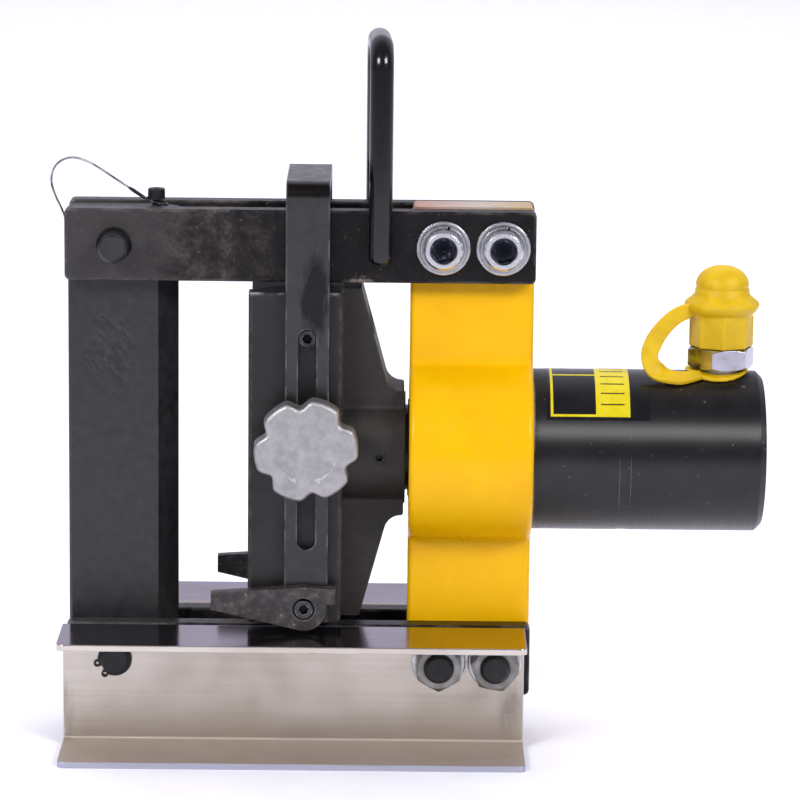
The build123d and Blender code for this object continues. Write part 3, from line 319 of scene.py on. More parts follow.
def socket_bolt_zinc(bolts, socket):
    """Zinc-plated socket screws at (x, z): a bright rim round a socket of that radius, with painted shade and
    painted glints in the socket.
    """
    material, tree, shader, place = new_material("zinc_plated_socket_screw", {"Metallic": 1})
    flat = add_node(tree, "Mapping", {"Vector": place, "Scale": (1, 0, 1)})
    away = [add_node(tree, "VectorMath", (flat, (x, 0, z)), operation="DISTANCE") for x, z in bolts]
    nearest = add_node(tree, "Math", away, operation="MINIMUM")
    depth = add_node(tree, "MapRange", (nearest, 0, socket * 1.08))
    # Painted shade inside the socket's radius, darkest at the middle, and the bright zinc of the rim outside
    # it
    colour = add_node(tree, "ValToRGB", (depth,), stops=(
        (0.0, "14141A"), (0.55, "22242C"), (0.90, "565A66"), (1.0, "DCDDE0")
    ))
    # Painted glints in the socket, then painted shade in its recesses
    glints = speckled(tree, place, 2.6, 0.60, 0.74, 0.4)
    paint(tree, shader, colour, (glints, "B9BCC6"), (painted_recess_shade(tree, 3), "16161A"))
    uneven_skin(tree, shader, place, 0.26, 4, 0.8, 0.01, corner=0.6)
    return material


def channel_zinc():
    """Bright zinc on drawn sheet: satin web, mirror top flange, faint draw lines, warm stains, and a pale
    matt coat on the low flanges' tops that is a painted reflection.
    """
    tint = {"Specular Tint": linear("D6D6EA")}
    material, tree, shader, place = new_material("bright_zinc_drawn_sheet", tint)
    drawn = add_node(tree, "Mapping", {"Vector": place, "Scale": (0.02, 1, 1)})
    colour, lines = mottled(tree, drawn, 2.2, ((0.30, "D0C9BF"), (0.75, "C8BFB4")), 4)
    clouds = add_node(tree, "TexNoise", {"Vector": place, "Scale": grain(46), "Detail": 4})
    stains = add_node(tree, "MapRange", (clouds, 0.42, 0.72, 0, 0.45))
    left_drips = soft_patch(tree, place, (-196, -30, 18), (14, 30, 40))
    right_drips = soft_patch(tree, place, (56, -27, 26), (16, 30, 34))
    drips = add_node(tree, "Math", (left_drips, right_drips), operation="MAXIMUM")
    hanging = add_node(tree, "Mapping", {"Vector": place, "Scale": (1, 1, 0.3)})
    splashes = add_node(tree, "TexNoise", {
        "Vector": hanging, "Scale": grain(5), "Detail": 6, "Roughness": 0.65
    })
    darkening = ragged(tree, drips, splashes, 0.18, 0.50, 0.4)
    height = add_node(tree, "SeparateXYZ", (place,)).outputs["Z"]
    facing = add_node(tree, "NewGeometry").outputs["Normal"]
    upward = add_node(tree, "SeparateXYZ", (facing,)).outputs["Z"]
    sideways = add_node(tree, "Math", (1, upward), operation="SUBTRACT", use_clamp=True)
    low = add_node(tree, "MapRange", (height, 4.6 * mm, 3.6 * mm))
    cut_edge = add_node(tree, "Math", (low, sideways), operation="MULTIPLY")
    # Pale matt coat on the upward faces of the low flanges, in place of bare metal: a painted reflection
    low_fade = add_node(tree, "MapRange", (height, 3.6 * mm, 7.5 * mm, 0.7, 0))
    painted_reflection_coat = add_node(tree, "Math", (low_fade, upward), operation="MULTIPLY", use_clamp=True)
    paint(
        tree, shader, colour, (stains, "B0A28F"), (darkening, "4A4038"),
        (worn_edges(tree, place, 1.6, 60), "D9D9E2"), (cut_edge, "B9BAC9"), (painted_reflection_coat, "937F70"),
    )
    bare = add_node(tree, "Math", (1, painted_reflection_coat), operation="SUBTRACT")
    satin = add_node(tree, "MapRange", (height, 61 * mm, 66 * mm, 0.42, 0.16))
    uneven = add_node(tree, "MapRange", (clouds, 0.3, 0.75, 0.8, 1.2))
    gloss = add_node(tree, "Math", (satin, uneven), operation="MULTIPLY")
    soft = add_node(tree, "Bevel", {"Radius": 1.2 * mm}, samples=6)
    relief = add_node(tree, "Bump", {"Height": lines, "Distance": 0.004 * mm, "Normal": soft})
    set_inputs(shader, {"Metallic": bare, "Roughness": gloss, "Normal": relief})
    return material


def tan_filler():
    """Rubbed-down casting filler: pinkish at one end, pale in the middle and yellower at the other."""
    material, tree, shader, place = new_material("rubbed_tan_filler", {"Specular IOR Level": 0.35})
    along = add_node(tree, "SeparateXYZ", (place,)).outputs["X"]
    share = add_node(tree, "MapRange", (along, 0, 66 * mm))
    tans = ((0.0, "AE7F6A"), (0.5, "AA9D92"), (1.0, "A98B5C"))
    paint(tree, shader, add_node(tree, "ValToRGB", (share,), stops=tans))
    uneven_skin(tree, shader, place, 0.36, 6, 1.5, 0.02)
    return material


def tube_enamel():
    """Black enamel on a turned tube: fine rings that draw highlights out along it, and a few pale specks."""
    material, tree, shader, place = new_material("turned_black_enamel", {
        "Specular IOR Level": 0.5, "Anisotropic": 0.9, "Anisotropic Rotation": 0.25
    })
    around = add_node(tree, "Tangent", direction_type="RADIAL", axis="X")
    colour, _ = mottled(tree, place, 16, ((0.35, "0B0B0C"), (0.70, "151517")))
    specks = speckled(tree, place, 2.4, 0.72, 0.77, 0.35, roughness=0.4)
    paint(tree, shader, colour, (specks, "8A8886"), (worn_edges(tree, place, 2.0, 30), "A9A5A0"))
    turned = add_node(tree, "Mapping", {"Vector": place, "Scale": (1, 0.05, 0.05)})
    rings = add_node(tree, "TexNoise", {"Vector": turned, "Scale": grain(1.2), "Detail": 4})
    gloss = add_node(tree, "MapRange", (rings, 0.3, 0.75, 0.40, 0.46))
    relief = add_node(tree, "Bump", {"Height": rings, "Distance": 0.006 * mm})
    set_inputs(shader, {"Tangent": around, "Roughness": gloss, "Normal": relief})
    return material


def cast_aluminium():
    """Die-cast aluminium, tumbled: grainy grey skin, brighter on the rubbed rim."""
    material, tree, shader, place = new_material("tumbled_cast_aluminium", {"Metallic": 1})
    colour, _ = mottled(tree, place, 6, ((0.36, "9E9C9E"), (0.68, "B7B5B6")), 7, 0.68)
    paint(tree, shader, colour, (worn_edges(tree, place, 2.0, 12), "DAD8D6"))
    uneven_skin(tree, shader, place, 0.50, 1.5, 0.8, 0.12)
    return material


def plain_grain(name, first, second, size, rough, values=None, detail=5, skin=None):
    """A plain even material such as rubber or enamel, finely mottled; skin gives patch, grit and depth."""
    material, tree, shader, place = new_material(name, values)
    colour, _ = mottled(tree, place, size, ((0.35, first), (0.70, second)), detail)
    paint(tree, shader, colour)
    uneven_skin(tree, shader, place, rough, *(skin or (size, size / 3, 0.02)))
    return material


def crimped_eye(centre, reach, dark, pale):
    """Wire eye with a black sleeve: steel near the eye's centre and black shrink sleeve beyond reach."""
    material, tree, shader, place = new_material("steel_eye_with_black_sleeve", {"Roughness": 0.38})
    away = add_node(tree, "VectorMath", (place, centre), operation="DISTANCE")
    sleeve = add_node(tree, "MapRange", (away, reach, reach + 0.4 * mm))
    metal, _ = mottled(tree, place, 0.6, ((0.35, dark), (0.65, pale)), 3)
    paint(tree, shader, metal, (sleeve, "0C0C0D"))
    set_inputs(shader, {"Metallic": add_node(tree, "Math", (1, sleeve), operation="SUBTRACT")})
    return material


# Flat bars: nearly black rolled scale
bar_black = hot_rolled_bar()
# Bending post: tool steel, oiled black, smoother and greyer than the bars, with marks high on its face
post_marks = ((-169, -16, 224), (26, 16, 38), 0.65)
post_black = black_steel(
    "oiled_black_tool_steel_post", "0F0F11", "212124", "55555A", 0.40, 6, 1.6, shine=0.6, marks=post_marks
)
# Vee die: machined tool steel, slightly warm, with pale rubbed corners, made pale enough to be also a painted
# highlight along its top edge
die_black = black_steel("oiled_black_oxide_die_steel", "171516", "222020", "A29EA0", 0.42, 14, 3.0)
# Carrier: black oxide over a browner casting
carrier_black = black_steel("black_oxide_casting", "1B1817", "2B2523", "4A423D", 0.50, 6, 1.5, grit=1.6)
# Strap, and the fingers screwed on it
strap_black = strap_steel()
finger_black = scuffed_finger()
# Handle: thick gloss enamel, dark and even, with clear mirror images of the lights
handle_black = black_steel("gloss_black_enamel", "08080A", "0F0F12", "2E2E33", 0.14, 20, 1.0, shine=0.5)
# Screws and pins: black oxide
screw_black = black_steel("black_oxide_screw", "101012", "1C1C1F", "4E4B49", 0.40, 4, 0.8)
# Guide and finger screws: black oxide rubbed bright on the heads, painted shade in the sockets
worn_screw = bright_plating(
    "worn_black_oxide_screw", "4C4C50", "404044", "383737", 0.30, darkening="060607", rub="86868A"
)
# Ram: nitrided and oiled, dark with a soft sheen
ram_black = black_steel("nitrided_ram_steel", "0B0B0C", "141415", "3A3A3C", 0.28, 20, 1.0)
# Washers and top nuts: zinc plate over steel
zinc = bright_plating("zinc_plated_fastener", "D6D7DA", "C6C7CA", "B4B0A2", 0.28)
# Top bolts: the same plate, with painted shade and painted glints in their sockets
socket_zinc = socket_bolt_zinc([(x, upper_z) for x in top_bolt_x], socket_radius)
# Base nuts: zinc gone dull and grey
dull_zinc = bright_plating("dulled_zinc_nut", "93928F", "7C7B79", "7F7B70", 0.34, rub="DAD9D6")
# Coupler: nickel plate over brass
nickel = bright_plating("nickel_plated_brass", "BDBBC8", "B3B1BC", "A39C8C", 0.14)
# Lanyard wire: drawn steel
wire_steel = bright_plating("drawn_steel_wire", "8C8A88", "5E5C5A", "7C756C", 0.34)
# Hidden steel parts: plain turned finish
turned_steel = bright_plating("turned_steel", "A8A6A4", "8C8A88", "9A9088", 0.32)
# Feet, head filler, tube and knob have finishes of their own
bright_channel = channel_zinc()
filler_tan = tan_filler()
tube_black = tube_enamel()
knob_cast = cast_aluminium()
# Cylinder head: gloss machine enamel on a casting, with a faint orange peel
yellow_gloss = plain_grain(
    "gloss_yellow_enamel", "DAA300", "E0AD00", 40, 0.30, {"Specular IOR Level": 0.2}, 3, (6, 2.4, 0.03)
)
# Cap and strap: dipped soft PVC, even yellow with a waxy sheen and a little light below the skin
waxy = {"Subsurface Weight": 0.15, "Subsurface Scale": 2 * mm, "Specular IOR Level": 0.35}
vinyl = plain_grain("yellow_soft_pvc", "C39E00", "CFAC06", 8, 0.48, waxy, 4, (4, 1.2, 0.02))
# Seals and wiper: nitrile rubber, dull black
rubber = plain_grain("nitrile_rubber", "141414", "1C1C1C", 2, 0.6)
# Coupler washer: pressed fibre, cream
fibre = plain_grain("cream_pressed_fibre", "D8CDB4", "E9E1CE", 2, 0.55)
# Rod bush: sintered bronze
bush_bronze = plain_grain("sintered_bronze", "8A6A3C", "A07E4A", 2, 0.45, {"Metallic": 1})
# Weld under the enamel: black with a scorched brown spatter
weld_black = plain_grain("enamelled_weld_bead", "0F0E0E", "2A2117", 2.5, 0.36)
# Printed film on the tube: gloss black and gloss lemon
film_black = plain_grain("gloss_black_film", "0A0A0C", "101013", 12, 0.20)
film_yellow = plain_grain("gloss_lemon_film", "C1B00E", "CBBB20", 10, 0.26, {"Specular IOR Level": 0.3})
# Wire eyes: steel and a black sleeve
anchor_eye = crimped_eye(eye_centre, 7.4 * mm, "3A3836", "5A5754")
pin_eye = crimped_eye(pin_eye_centre, 6.9 * mm, "7C7977", "A8A5A2")

# Finish of each CAD node that no piece below replaces
finishes = {
    bright_channel: ["front_base_channel", "rear_base_channel"],
    bar_black: ["front_lower_bar", "rear_lower_bar", "front_top_rail", "rear_top_rail"],
    post_black: ["bending_post", "lock_pin"],
    screw_black: [
        "post_pivot_pin", "pivot_pin_circlips", "base_frame_bolts", "carrier_set_screw", "die_screws",
        "clamp_stud", "lanyard_anchor_screw",
    ],
    worn_screw: ["guide_screws", "finger_screws"],
    yellow_gloss: ["cylinder_head"],
    tube_black: ["cylinder_tube"],
    rubber: ["tube_o_ring", "rod_wiper", "rod_seal", "piston_seal", "piston_wear_ring"],
    bush_bronze: ["rod_bush"],
    turned_steel: ["spring_seat", "piston", "piston_nut", "coupler_valve"],
    ram_black: ["ram"],
    zinc: [
        "top_bolt_washers", "top_bolt_spring_washers", "top_bolt_nuts", "base_bolt_washers", "knob_washer",
    ],
    socket_zinc: ["top_frame_bolts"],
    dull_zinc: ["base_bolt_nuts"],
    carrier_black: ["die_carrier"],
    die_black: ["vee_die"],
    strap_black: ["height_stirrup"],
    finger_black: ["front_support_finger", "rear_support_finger"],
    nickel: ["coupler_nipple"],
    fibre: ["coupler_seal_washer"],
    pin_eye: ["lanyard_pin_eye"],
}
for finish, names in finishes.items():
    for name in names:
        nodes[name].data.materials.clear()
        nodes[name].data.materials.append(finish)


def add_piece(name, shape, finish, body=None, stands_for=None):
    """Object made from a bmesh, which is freed; one that stands for a CAD node is smooth and replaces it."""
    mesh = bpy.data.meshes.new(name)
    shape.to_mesh(mesh)
    shape.free()
    mesh.materials.append(finish)
    piece = bpy.data.objects.new(name, mesh)
    bpy.context.collection.objects.link(piece)
    if body:
        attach(piece, body)
    if stands_for:
        mesh.shade_smooth()
        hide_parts(stands_for)
    return piece


def closed_up(shape):
    """Merge doubles and turn all faces outwards."""
    bmesh.ops.remove_doubles(shape, verts=shape.verts, dist=0.002 * mm)
    bmesh.ops.recalc_face_normals(shape, faces=shape.faces)
    return shape


def extrude_along(shape, faces, places):
    """Carry faces from one place matrix to the next, leaving walls behind; they start at the first."""
    for at, (before, after) in enumerate(zip(places, places[1:])):
        made = bmesh.ops.extrude_face_region(shape, geom=faces)["geom"]
        if at:
            bmesh.ops.delete(shape, geom=faces, context="FACES_ONLY")
        faces = [part for part in made if isinstance(part, bmesh.types.BMFace)]
        corners = {corner for face in faces for corner in face.verts}
        bmesh.ops.transform(shape, matrix=after @ before.inverted(), verts=list(corners))


def raised(shape, faces, rise):
    """Extrude faces along a vector, leaving walls behind."""
    made = bmesh.ops.extrude_face_region(shape, geom=faces)["geom"]
    lifted = [part for part in made if isinstance(part, bmesh.types.BMVert)]
    bmesh.ops.translate(shape, vec=rise, verts=lifted)


def full_turn(shape, corners, edges, centre, axis, steps):
    """Sweep a profile once round an axis and join its end to its start."""
    bmesh.ops.spin(
        shape, geom=[*corners, *edges], cent=centre, axis=axis, angle=2 * pi, steps=steps, use_merge=True
    )


def swept_bar(places, radius, segments):
    """Round bar through place matrices."""
    shape = bmesh.new()
    bmesh.ops.create_circle(shape, cap_ends=True, segments=segments, radius=radius, matrix=places[0])
    extrude_along(shape, shape.faces[:], places)
    return closed_up(shape)


def framed(centre, across, way):
    """Place matrix with X across and Z along way, as unit directions."""
    way = Vector(way).normalized()
    across = Vector(across)
    across = (across - way * across.dot(way)).normalized()
    turn = Matrix((across, way.cross(across), way)).transposed()
    return Matrix.Translation(centre) @ turn.to_4x4()


def ringed(rings, segments, place):
    """Closed skin through rings round Z, each a radius, plain or by angle, and a height in millimetres."""
    shape = bmesh.new()
    start = bmesh.ops.create_circle(shape, cap_ends=True, segments=segments, radius=1)["verts"]
    rim = list({edge for corner in start for edge in corner.link_edges})
    for at, (radius, height) in enumerate(rings):
        if at:
            made = bmesh.ops.extrude_edge_only(shape, edges=rim)["geom"]
            rim = [part for part in made if isinstance(part, bmesh.types.BMEdge) and part.is_boundary]
        for corner in {corner for edge in rim for corner in edge.verts}:
            angle = atan2(corner.co.y, corner.co.x)
            reach = radius(angle) if callable(radius) else radius
            corner.co = Vector((reach * cos(angle), reach * sin(angle), height)) * mm
    bmesh.ops.holes_fill(shape, edges=rim)
    bmesh.ops.transform(shape, matrix=place, verts=shape.verts)
    return closed_up(shape)


def off_centre(angle, first, count):
    """Turn from the nearest of count even steps round a circle, counted from the first; in radians."""
    step = 2 * pi / count
    return (angle - first + step / 2) % step - step / 2


# Lanyard wire: the route of the CAD wire as one smooth spline, and a twisted wire rope along it
wire_diameter = 1.3 * mm
wire_lay = 9 * mm
wire_strands = 6
strand_sides = 5
strand_groove = 0.08
wire_route = (
    (-159.13, 0.50, 312.33), (-169.63, 1.13, 319.08), (-181.00, 3.00, 326.20), (-192.20, 8.00, 328.80),
    (-201.40, 13.50, 323.60), (-204.60, 19.00, 314.00), (-202.60, 25.00, 304.40), (-197.80, 31.50, 293.00),
    (-195.80, 36.00, 281.00), (-194.45, 37.30, 272.68), (-191.30, 37.30, 268.79), (-186.73, 37.30, 266.76),
    (-181.74, 37.30, 267.02), (-177.41, 37.30, 269.52),
)


def spline_points(route):
    """Points along the smooth spline that has the route's points, in millimetres, as control points."""
    curve = bpy.data.curves.new("route", "CURVE")
    curve.dimensions = "3D"
    curve.resolution_u = 14
    spline = curve.splines.new("NURBS")
    spline.points.add(len(route) - 1)
    for point, place in zip(spline.points, route):
        point.co = (*(Vector(place) * mm), 1)
    spline.order_u = 3
    spline.use_endpoint_u = True
    line = bpy.data.objects.new("route", curve)
    mesh = bpy.data.meshes.new_from_object(line)
    points = [corner.co.copy() for corner in mesh.vertices]
    bpy.data.objects.remove(line)
    bpy.data.curves.remove(curve)
    bpy.data.meshes.remove(mesh)
    return points


def twisted_wire(path):
    """Wire rope along the path: a lobed section, one lobe to a strand, that turns as it goes."""
    shape = bmesh.new()
    sides = strand_sides * wire_strands
    ring = bmesh.ops.create_circle(shape, cap_ends=True, segments=sides, radius=wire_diameter / 2)["verts"]
    for at, corner in enumerate(ring):
        corner.co *= 1 - strand_groove + strand_groove * cos(2 * pi * at / strand_sides)
    across = Vector((0, 1, 0))
    run = 0
    places = []
    for at, point in enumerate(path):
        way = path[min(at + 1, len(path) - 1)] - path[max(at - 1, 0)]
        if at:
            run += (point - path[at - 1]).length
        place = framed(point, across, way)
        across = place.to_3x3().col[0]
        places.append(place @ Matrix.Rotation(2 * pi * run / wire_lay, 4, "Z"))
    bmesh.ops.transform(shape, matrix=places[0], verts=shape.verts)
    extrude_along(shape, shape.faces[:], places)
    return closed_up(shape), run


# Eye of the wire round the anchor screw, with a slim black sleeve over its crimp
eye_radius = 6.4 * mm
eye_wire = 0.55 * mm
eye_tilt = radians(16)
sleeve_gap = 0.6 * mm
sleeve_rings = ((0.5, -0.8), (0.85, 0.2), (1.0, 1.4), (1.0, 8.0), (0.85, 9.2), (0.66, 10.0))


def anchor_eye_shape():
    lean = Vector((-cos(eye_tilt), 0, sin(eye_tilt)))
    sleeve_start = eye_centre + lean * (eye_radius + sleeve_gap)
    way = Vector(wire_route[0]) * mm - sleeve_start
    shape = ringed(sleeve_rings, 20, framed(sleeve_start, (0, 1, 0), way))
    axis = Vector((sin(eye_tilt), 0, cos(eye_tilt)))
    side = framed(eye_centre + Vector((0, eye_radius, 0)), (0, 1, 0), lean)
    ring = bmesh.ops.create_circle(shape, segments=10, radius=eye_wire, matrix=side)["verts"]
    edges = list({edge for corner in ring for edge in corner.link_edges})
    full_turn(shape, ring, edges, eye_centre, axis, 40)
    return closed_up(shape)


eye = add_piece(
    "lanyard_eye_and_sleeve", anchor_eye_shape(), anchor_eye, "frame", "lanyard_anchor_eye"
)

wire_path = spline_points(wire_route)
wire_shape, wire_length = twisted_wire(wire_path)
wire = add_piece("lanyard_wire_rope", wire_shape, wire_steel, stands_for="lanyard_wire")
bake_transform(wire)

# Cap strap: a ring draped over the tube under the hexagon and a band that curls up to the cap's brim
strap_thick = 3 * mm
strap_ring = 17.5 * mm
strap_ring_thick = 2.2 * mm
strap_ring_x = coupler_x - 2.2 * mm
seal_low, seal_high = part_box("coupler_seal_washer")
strap_hole = (seal_high[0] - seal_low[0]) / 2 + 0.6 * mm
strap_lift = 0.3 * mm
strap_voxel = 0.45 * mm
strap_steps = 5
strap_smoothing = 8
strap_lie = tube_radius + strap_lift + strap_thick / 2


def on_tube(x, lean):
    """Place of the strap's middle on top of the tube, lean degrees to the front, and the way across."""
    lean = radians(lean)
    across = (0, cos(lean), sin(lean))
    return (x / mm, -strap_lie * sin(lean) / mm, (axis_z + strap_lie * cos(lean)) / mm), across


def strap_band():
    """Sections of the band: middle in millimetres, way along, way across and width."""
    start_place, start_across = on_tube(160 * mm, 15)
    lying_place, lying_across = on_tube(149 * mm, 20)
    return (
        (start_place, (-1, 0, 0), start_across, 8),
        (lying_place, (-1, 0, 0), lying_across, 11),
        ((140.5, -16, 212.2), (-1, 0, 0.25), (0, 0.9, 0.43), 11.5),
        ((133.6, -16, 216), (-0.62, 0, 0.78), (0.72, 0.3, 0.62), 10.5),
        ((130.7, -14.5, 222.6), (0.1, 0, 1), (1, 0, -0.1), 9.5),
        ((132.6, -12.8, 229.5), (0.52, 0.1, 0.85), (0.85, 0, -0.52), 10),
        ((137.2, -11.0, 236.8), (0.76, 0.2, 0.64), (0.64, 0, -0.76), 9.6),
        ((144.0, -9.4, 243.6), (0.84, 0.25, 0.5), (0.5, 0, -0.85), 9),
        ((150.6, -8.0, 247.0), (0.92, 0.3, 0.34), (0.34, 0, -0.92), 8.6),
        ((156.0, -6.2, 248.2), (0.93, 0.3, 0.2), (0.15, 0, -0.99), 7.4),
    )


def smoothed(rows, steps):
    """Rows of numbers with steps more between each two, on a smooth curve through them."""
    made = []
    for at in range(len(rows) - 1):
        before = rows[max(at - 1, 0)]
        here = rows[at]
        there = rows[at + 1]
        after = rows[min(at + 2, len(rows) - 1)]
        for step in range(steps):
            share = step / steps
            bend = (2 * before - 5 * here + 4 * there - after) * share ** 2
            twist = (3 * here - before - 3 * there + after) * share ** 3
            made.append((2 * here + (there - before) * share + bend + twist) / 2)
    return [*made, rows[-1]]


def cap_strap():
    """The ring and the band, before they are fused and smoothed."""
    shape = bmesh.new()
    inner = bmesh.ops.create_circle(shape, segments=64, radius=strap_hole)["verts"]
    rim = [edge for edge in shape.edges if edge.verts[0] in inner]
    for radius in ((strap_hole + strap_ring) / 2, strap_ring):
        made = bmesh.ops.extrude_edge_only(shape, edges=rim)["geom"]
        rim = [part for part in made if isinstance(part, bmesh.types.BMEdge)]
        for corner in {corner for edge in rim for corner in edge.verts}:
            corner.co = corner.co.normalized() * radius
        rim = [edge for edge in rim if all(abs(v.co.length - radius) < 0.01 * mm for v in edge.verts)]
    raised(shape, shape.faces[:], (0, 0, strap_ring_thick))
    for corner in shape.verts:
        around = tube_radius + strap_lift + corner.co.z
        inwards = (strap_ring - corner.co.xy.length) / (strap_ring - strap_hole)
        corner.co.z = axis_z + sqrt(around ** 2 - corner.co.y ** 2)
        corner.co.x += strap_ring_x + inwards * (coupler_x - strap_ring_x)
    places = []
    rows = [Vector((*middle, *way, *across, width)) for middle, way, across, width in strap_band()]
    for row in smoothed(rows, strap_steps):
        size = Matrix.Diagonal((row[9] * mm, strap_thick, 1, 1))
        places.append(framed(Vector(row[:3]) * mm, row[6:9], row[3:6]) @ size)
    end = bmesh.ops.create_grid(shape, x_segments=3, y_segments=1, size=0.5, matrix=places[0])["verts"]
    faces = list({face for corner in end for face in corner.link_faces})
    extrude_along(shape, faces, places)
    return closed_up(shape)


def fused(piece, voxel, rounds):
    """Fuse a piece's overlapping solids into one skin on a voxel grid and smooth it."""
    remesh = piece.modifiers.new("fuse", "REMESH")
    remesh.mode = "VOXEL"
    remesh.voxel_size = voxel
    skin = bpy.data.meshes.new_from_object(piece.evaluated_get(bpy.context.evaluated_depsgraph_get()))
    piece.modifiers.clear()
    shape = bmesh.new()
    shape.from_mesh(skin)
    for _ in range(rounds):
        bmesh.ops.smooth_vert(
            shape, verts=shape.verts, factor=0.5, use_axis_x=True, use_axis_y=True, use_axis_z=True
        )
    shape.to_mesh(piece.data)
    shape.free()
    bpy.data.meshes.remove(skin)


strap = add_piece("cap_strap", cap_strap(), vinyl)
fused(strap, strap_voxel, strap_smoothing)
strap.data.shade_smooth()
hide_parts("dust_cap_strap")
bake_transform(strap)


# Dust cap: soft PVC with eight flats and ribbed corners on the skirt, a rolled brim, a groove and a dome
cap_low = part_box("dust_cap")[0][2] / mm
cap_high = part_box("dust_cap")[1][2] / mm
cap_bore = 14.3
cap_roof = 250
cap_skirt = 17.5
cap_flat = 16.2
cap_flats = 8
cap_rib = 0.35
cap_rib_half = radians(2.9)
cap_segments = 192
cap_dome = 14.8
cap_dome_low = 261.2
dome_fullness = 2.05
dome_steps = 14


def skirt_radius(angle):
    """Skirt with flats and a slim rib on each corner; one of the corners faces the front."""
    rib = cap_rib if abs(off_centre(angle, 0, cap_flats)) < cap_rib_half else 0
    return min(cap_skirt, cap_flat / cos(off_centre(angle, pi / cap_flats, cap_flats))) + rib


def cap_rings():
    """Rings from the roof of the bore down, round the skirt's edge and up to the top of the dome."""
    rings = [
        (cap_bore, cap_roof), (cap_bore, cap_low), (lambda angle: skirt_radius(angle) - 0.5, cap_low),
        (skirt_radius, cap_low + 0.6), (skirt_radius, 243.0), (cap_skirt - 0.2, 244.6), (17.7, 245.7),
        (18.4, 246.1), (19.5, 247.5), (20.6, 249.4), (20.9, 250.5), (20.6, 251.5), (19.6, 252.5),
        (17.0, 254.6), (15.6, 255.9), (15.2, 256.8), (15.2, 258.9), (14.7, 259.5), (14.3, 259.9),
        (14.5, 260.4),
    ]
    for step in range(dome_steps):
        rise = pi / 2 * step / (dome_steps - 0.6)
        reach = cos(rise) ** (2 / dome_fullness)
        rings.append((
            cap_dome * reach, cap_dome_low + (cap_high - cap_dome_low) * sin(rise) ** (2 / dome_fullness)
        ))
    return rings


cap_shape = ringed(cap_rings(), cap_segments, Matrix.Translation((coupler_x, 0, 0)))
add_piece("soft_dust_cap", cap_shape, vinyl, "dust_cap", "dust_cap")


# Printed film on top of the tube: a black sheet with a plain yellow frame and a blank ruled panel
film_thick = 0.12 * mm
film_left = 73.5 * mm
film_right = 130.5 * mm
film_low = 32
film_high = 112
panel_left = 100.5 * mm
panel_right = 119.5 * mm
panel_low = 34.5
frame_left = 75.5 * mm
frame_line = 1.5 * mm
frame_high = film_high - 3
cross_line = 76
line_turn = 1.9
rule_margin = 3 * mm
rule_turn = 0.9
rule_angles = range(44, 95, 10)


def lay_film(shape, left, right, low, high, layer):
    """Add a strip of film on the tube to a bmesh, from low to high degrees up from the level in front."""
    radius = tube_radius + (layer + 0.2) * film_thick
    low = radians(low)
    high = radians(high)
    ends = [shape.verts.new((x, -radius * cos(low), axis_z + radius * sin(low))) for x in (left, right)]
    edge = shape.edges.new(ends)
    steps = max(2, round((high - low) / radians(4)))
    bmesh.ops.spin(
        shape, geom=[*ends, edge], cent=(0, 0, axis_z), axis=(-1, 0, 0), angle=high - low, steps=steps
    )


def film_piece(name, strips, finish):
    """Strips of film as one thin piece on the tube; each strip is left, right, low, high and layer."""
    shape = bmesh.new()
    for strip in strips:
        lay_film(shape, *strip)
    bmesh.ops.recalc_face_normals(shape, faces=shape.faces)
    bmesh.ops.solidify(shape, geom=shape.faces[:], thickness=-film_thick)
    return add_piece(name, closed_up(shape), finish, "frame")


film_piece("plate_film", [(film_left, film_right, film_low, film_high, 0)], film_black)
film_piece("plate_frame", [
    (frame_left, frame_left + frame_line, panel_low, frame_high, 1),
    (frame_left + frame_line, panel_left, panel_low, panel_low + line_turn, 1),
    (frame_left + frame_line, panel_left, cross_line, cross_line + line_turn, 1),
    (panel_left, panel_right, panel_low, frame_high, 1),
], film_yellow)
film_piece("plate_rules", [
    (panel_left + rule_margin, panel_right - rule_margin, angle, angle + rule_turn, 2)
    for angle in rule_angles
], film_black)


# Star knob: a cast disc with six shallow scallops and rolled edges, on a short hub
knob_radius = 28.6
knob_scallops = 6
knob_segments = 180
knob_turn = radians(38)
scallop_depth = 4.6
scallop_half = radians(16.5)
knob_bore = 4.8
knob_hub = 13
knob_hub_back = -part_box("clamp_knob")[1][1] / mm
knob_disc_back = 50
knob_face = -knob_front / mm


def knob_rim(inset):
    """Radius by angle of the scalloped rim, set in by some millimetres."""
    def radius(angle):
        apart = off_centre(angle, knob_turn, knob_scallops)
        hollow = 0.5 + 0.5 * cos(pi * apart / scallop_half) if abs(apart) < scallop_half else 0
        return knob_radius - inset - scallop_depth * hollow
    return radius


knob_rings = [
    (knob_bore, knob_face - 5), (knob_bore, knob_hub_back), (knob_hub, knob_hub_back),
    (knob_hub, knob_disc_back), (knob_rim(1.5), knob_disc_back), (knob_rim(0.4), knob_disc_back + 0.4),
    (knob_rim(0), knob_disc_back + 1.5), (knob_rim(0), knob_face - 3), (knob_rim(0.3), knob_face - 1.7),
    (knob_rim(1), knob_face - 0.7), (knob_rim(2), knob_face - 0.15), (knob_rim(3.2), knob_face),
    (knob_rim(8), knob_face),
]
knob_place = Matrix.Translation((stirrup_x, 0, knob_z)) @ Matrix.Rotation(pi / 2, 4, "X")
knob_shape = ringed(knob_rings, knob_segments, knob_place)
add_piece("cast_star_knob", knob_shape, knob_cast, "knob", "clamp_knob")


# Turning marks cast on the knob: two raised arcs, each with an arrowhead
mark_radius = 17 * mm
mark_width = 1.3 * mm
mark_rise = 0.5 * mm
mark_sweep = 42
mark_head = 2.4 * mm


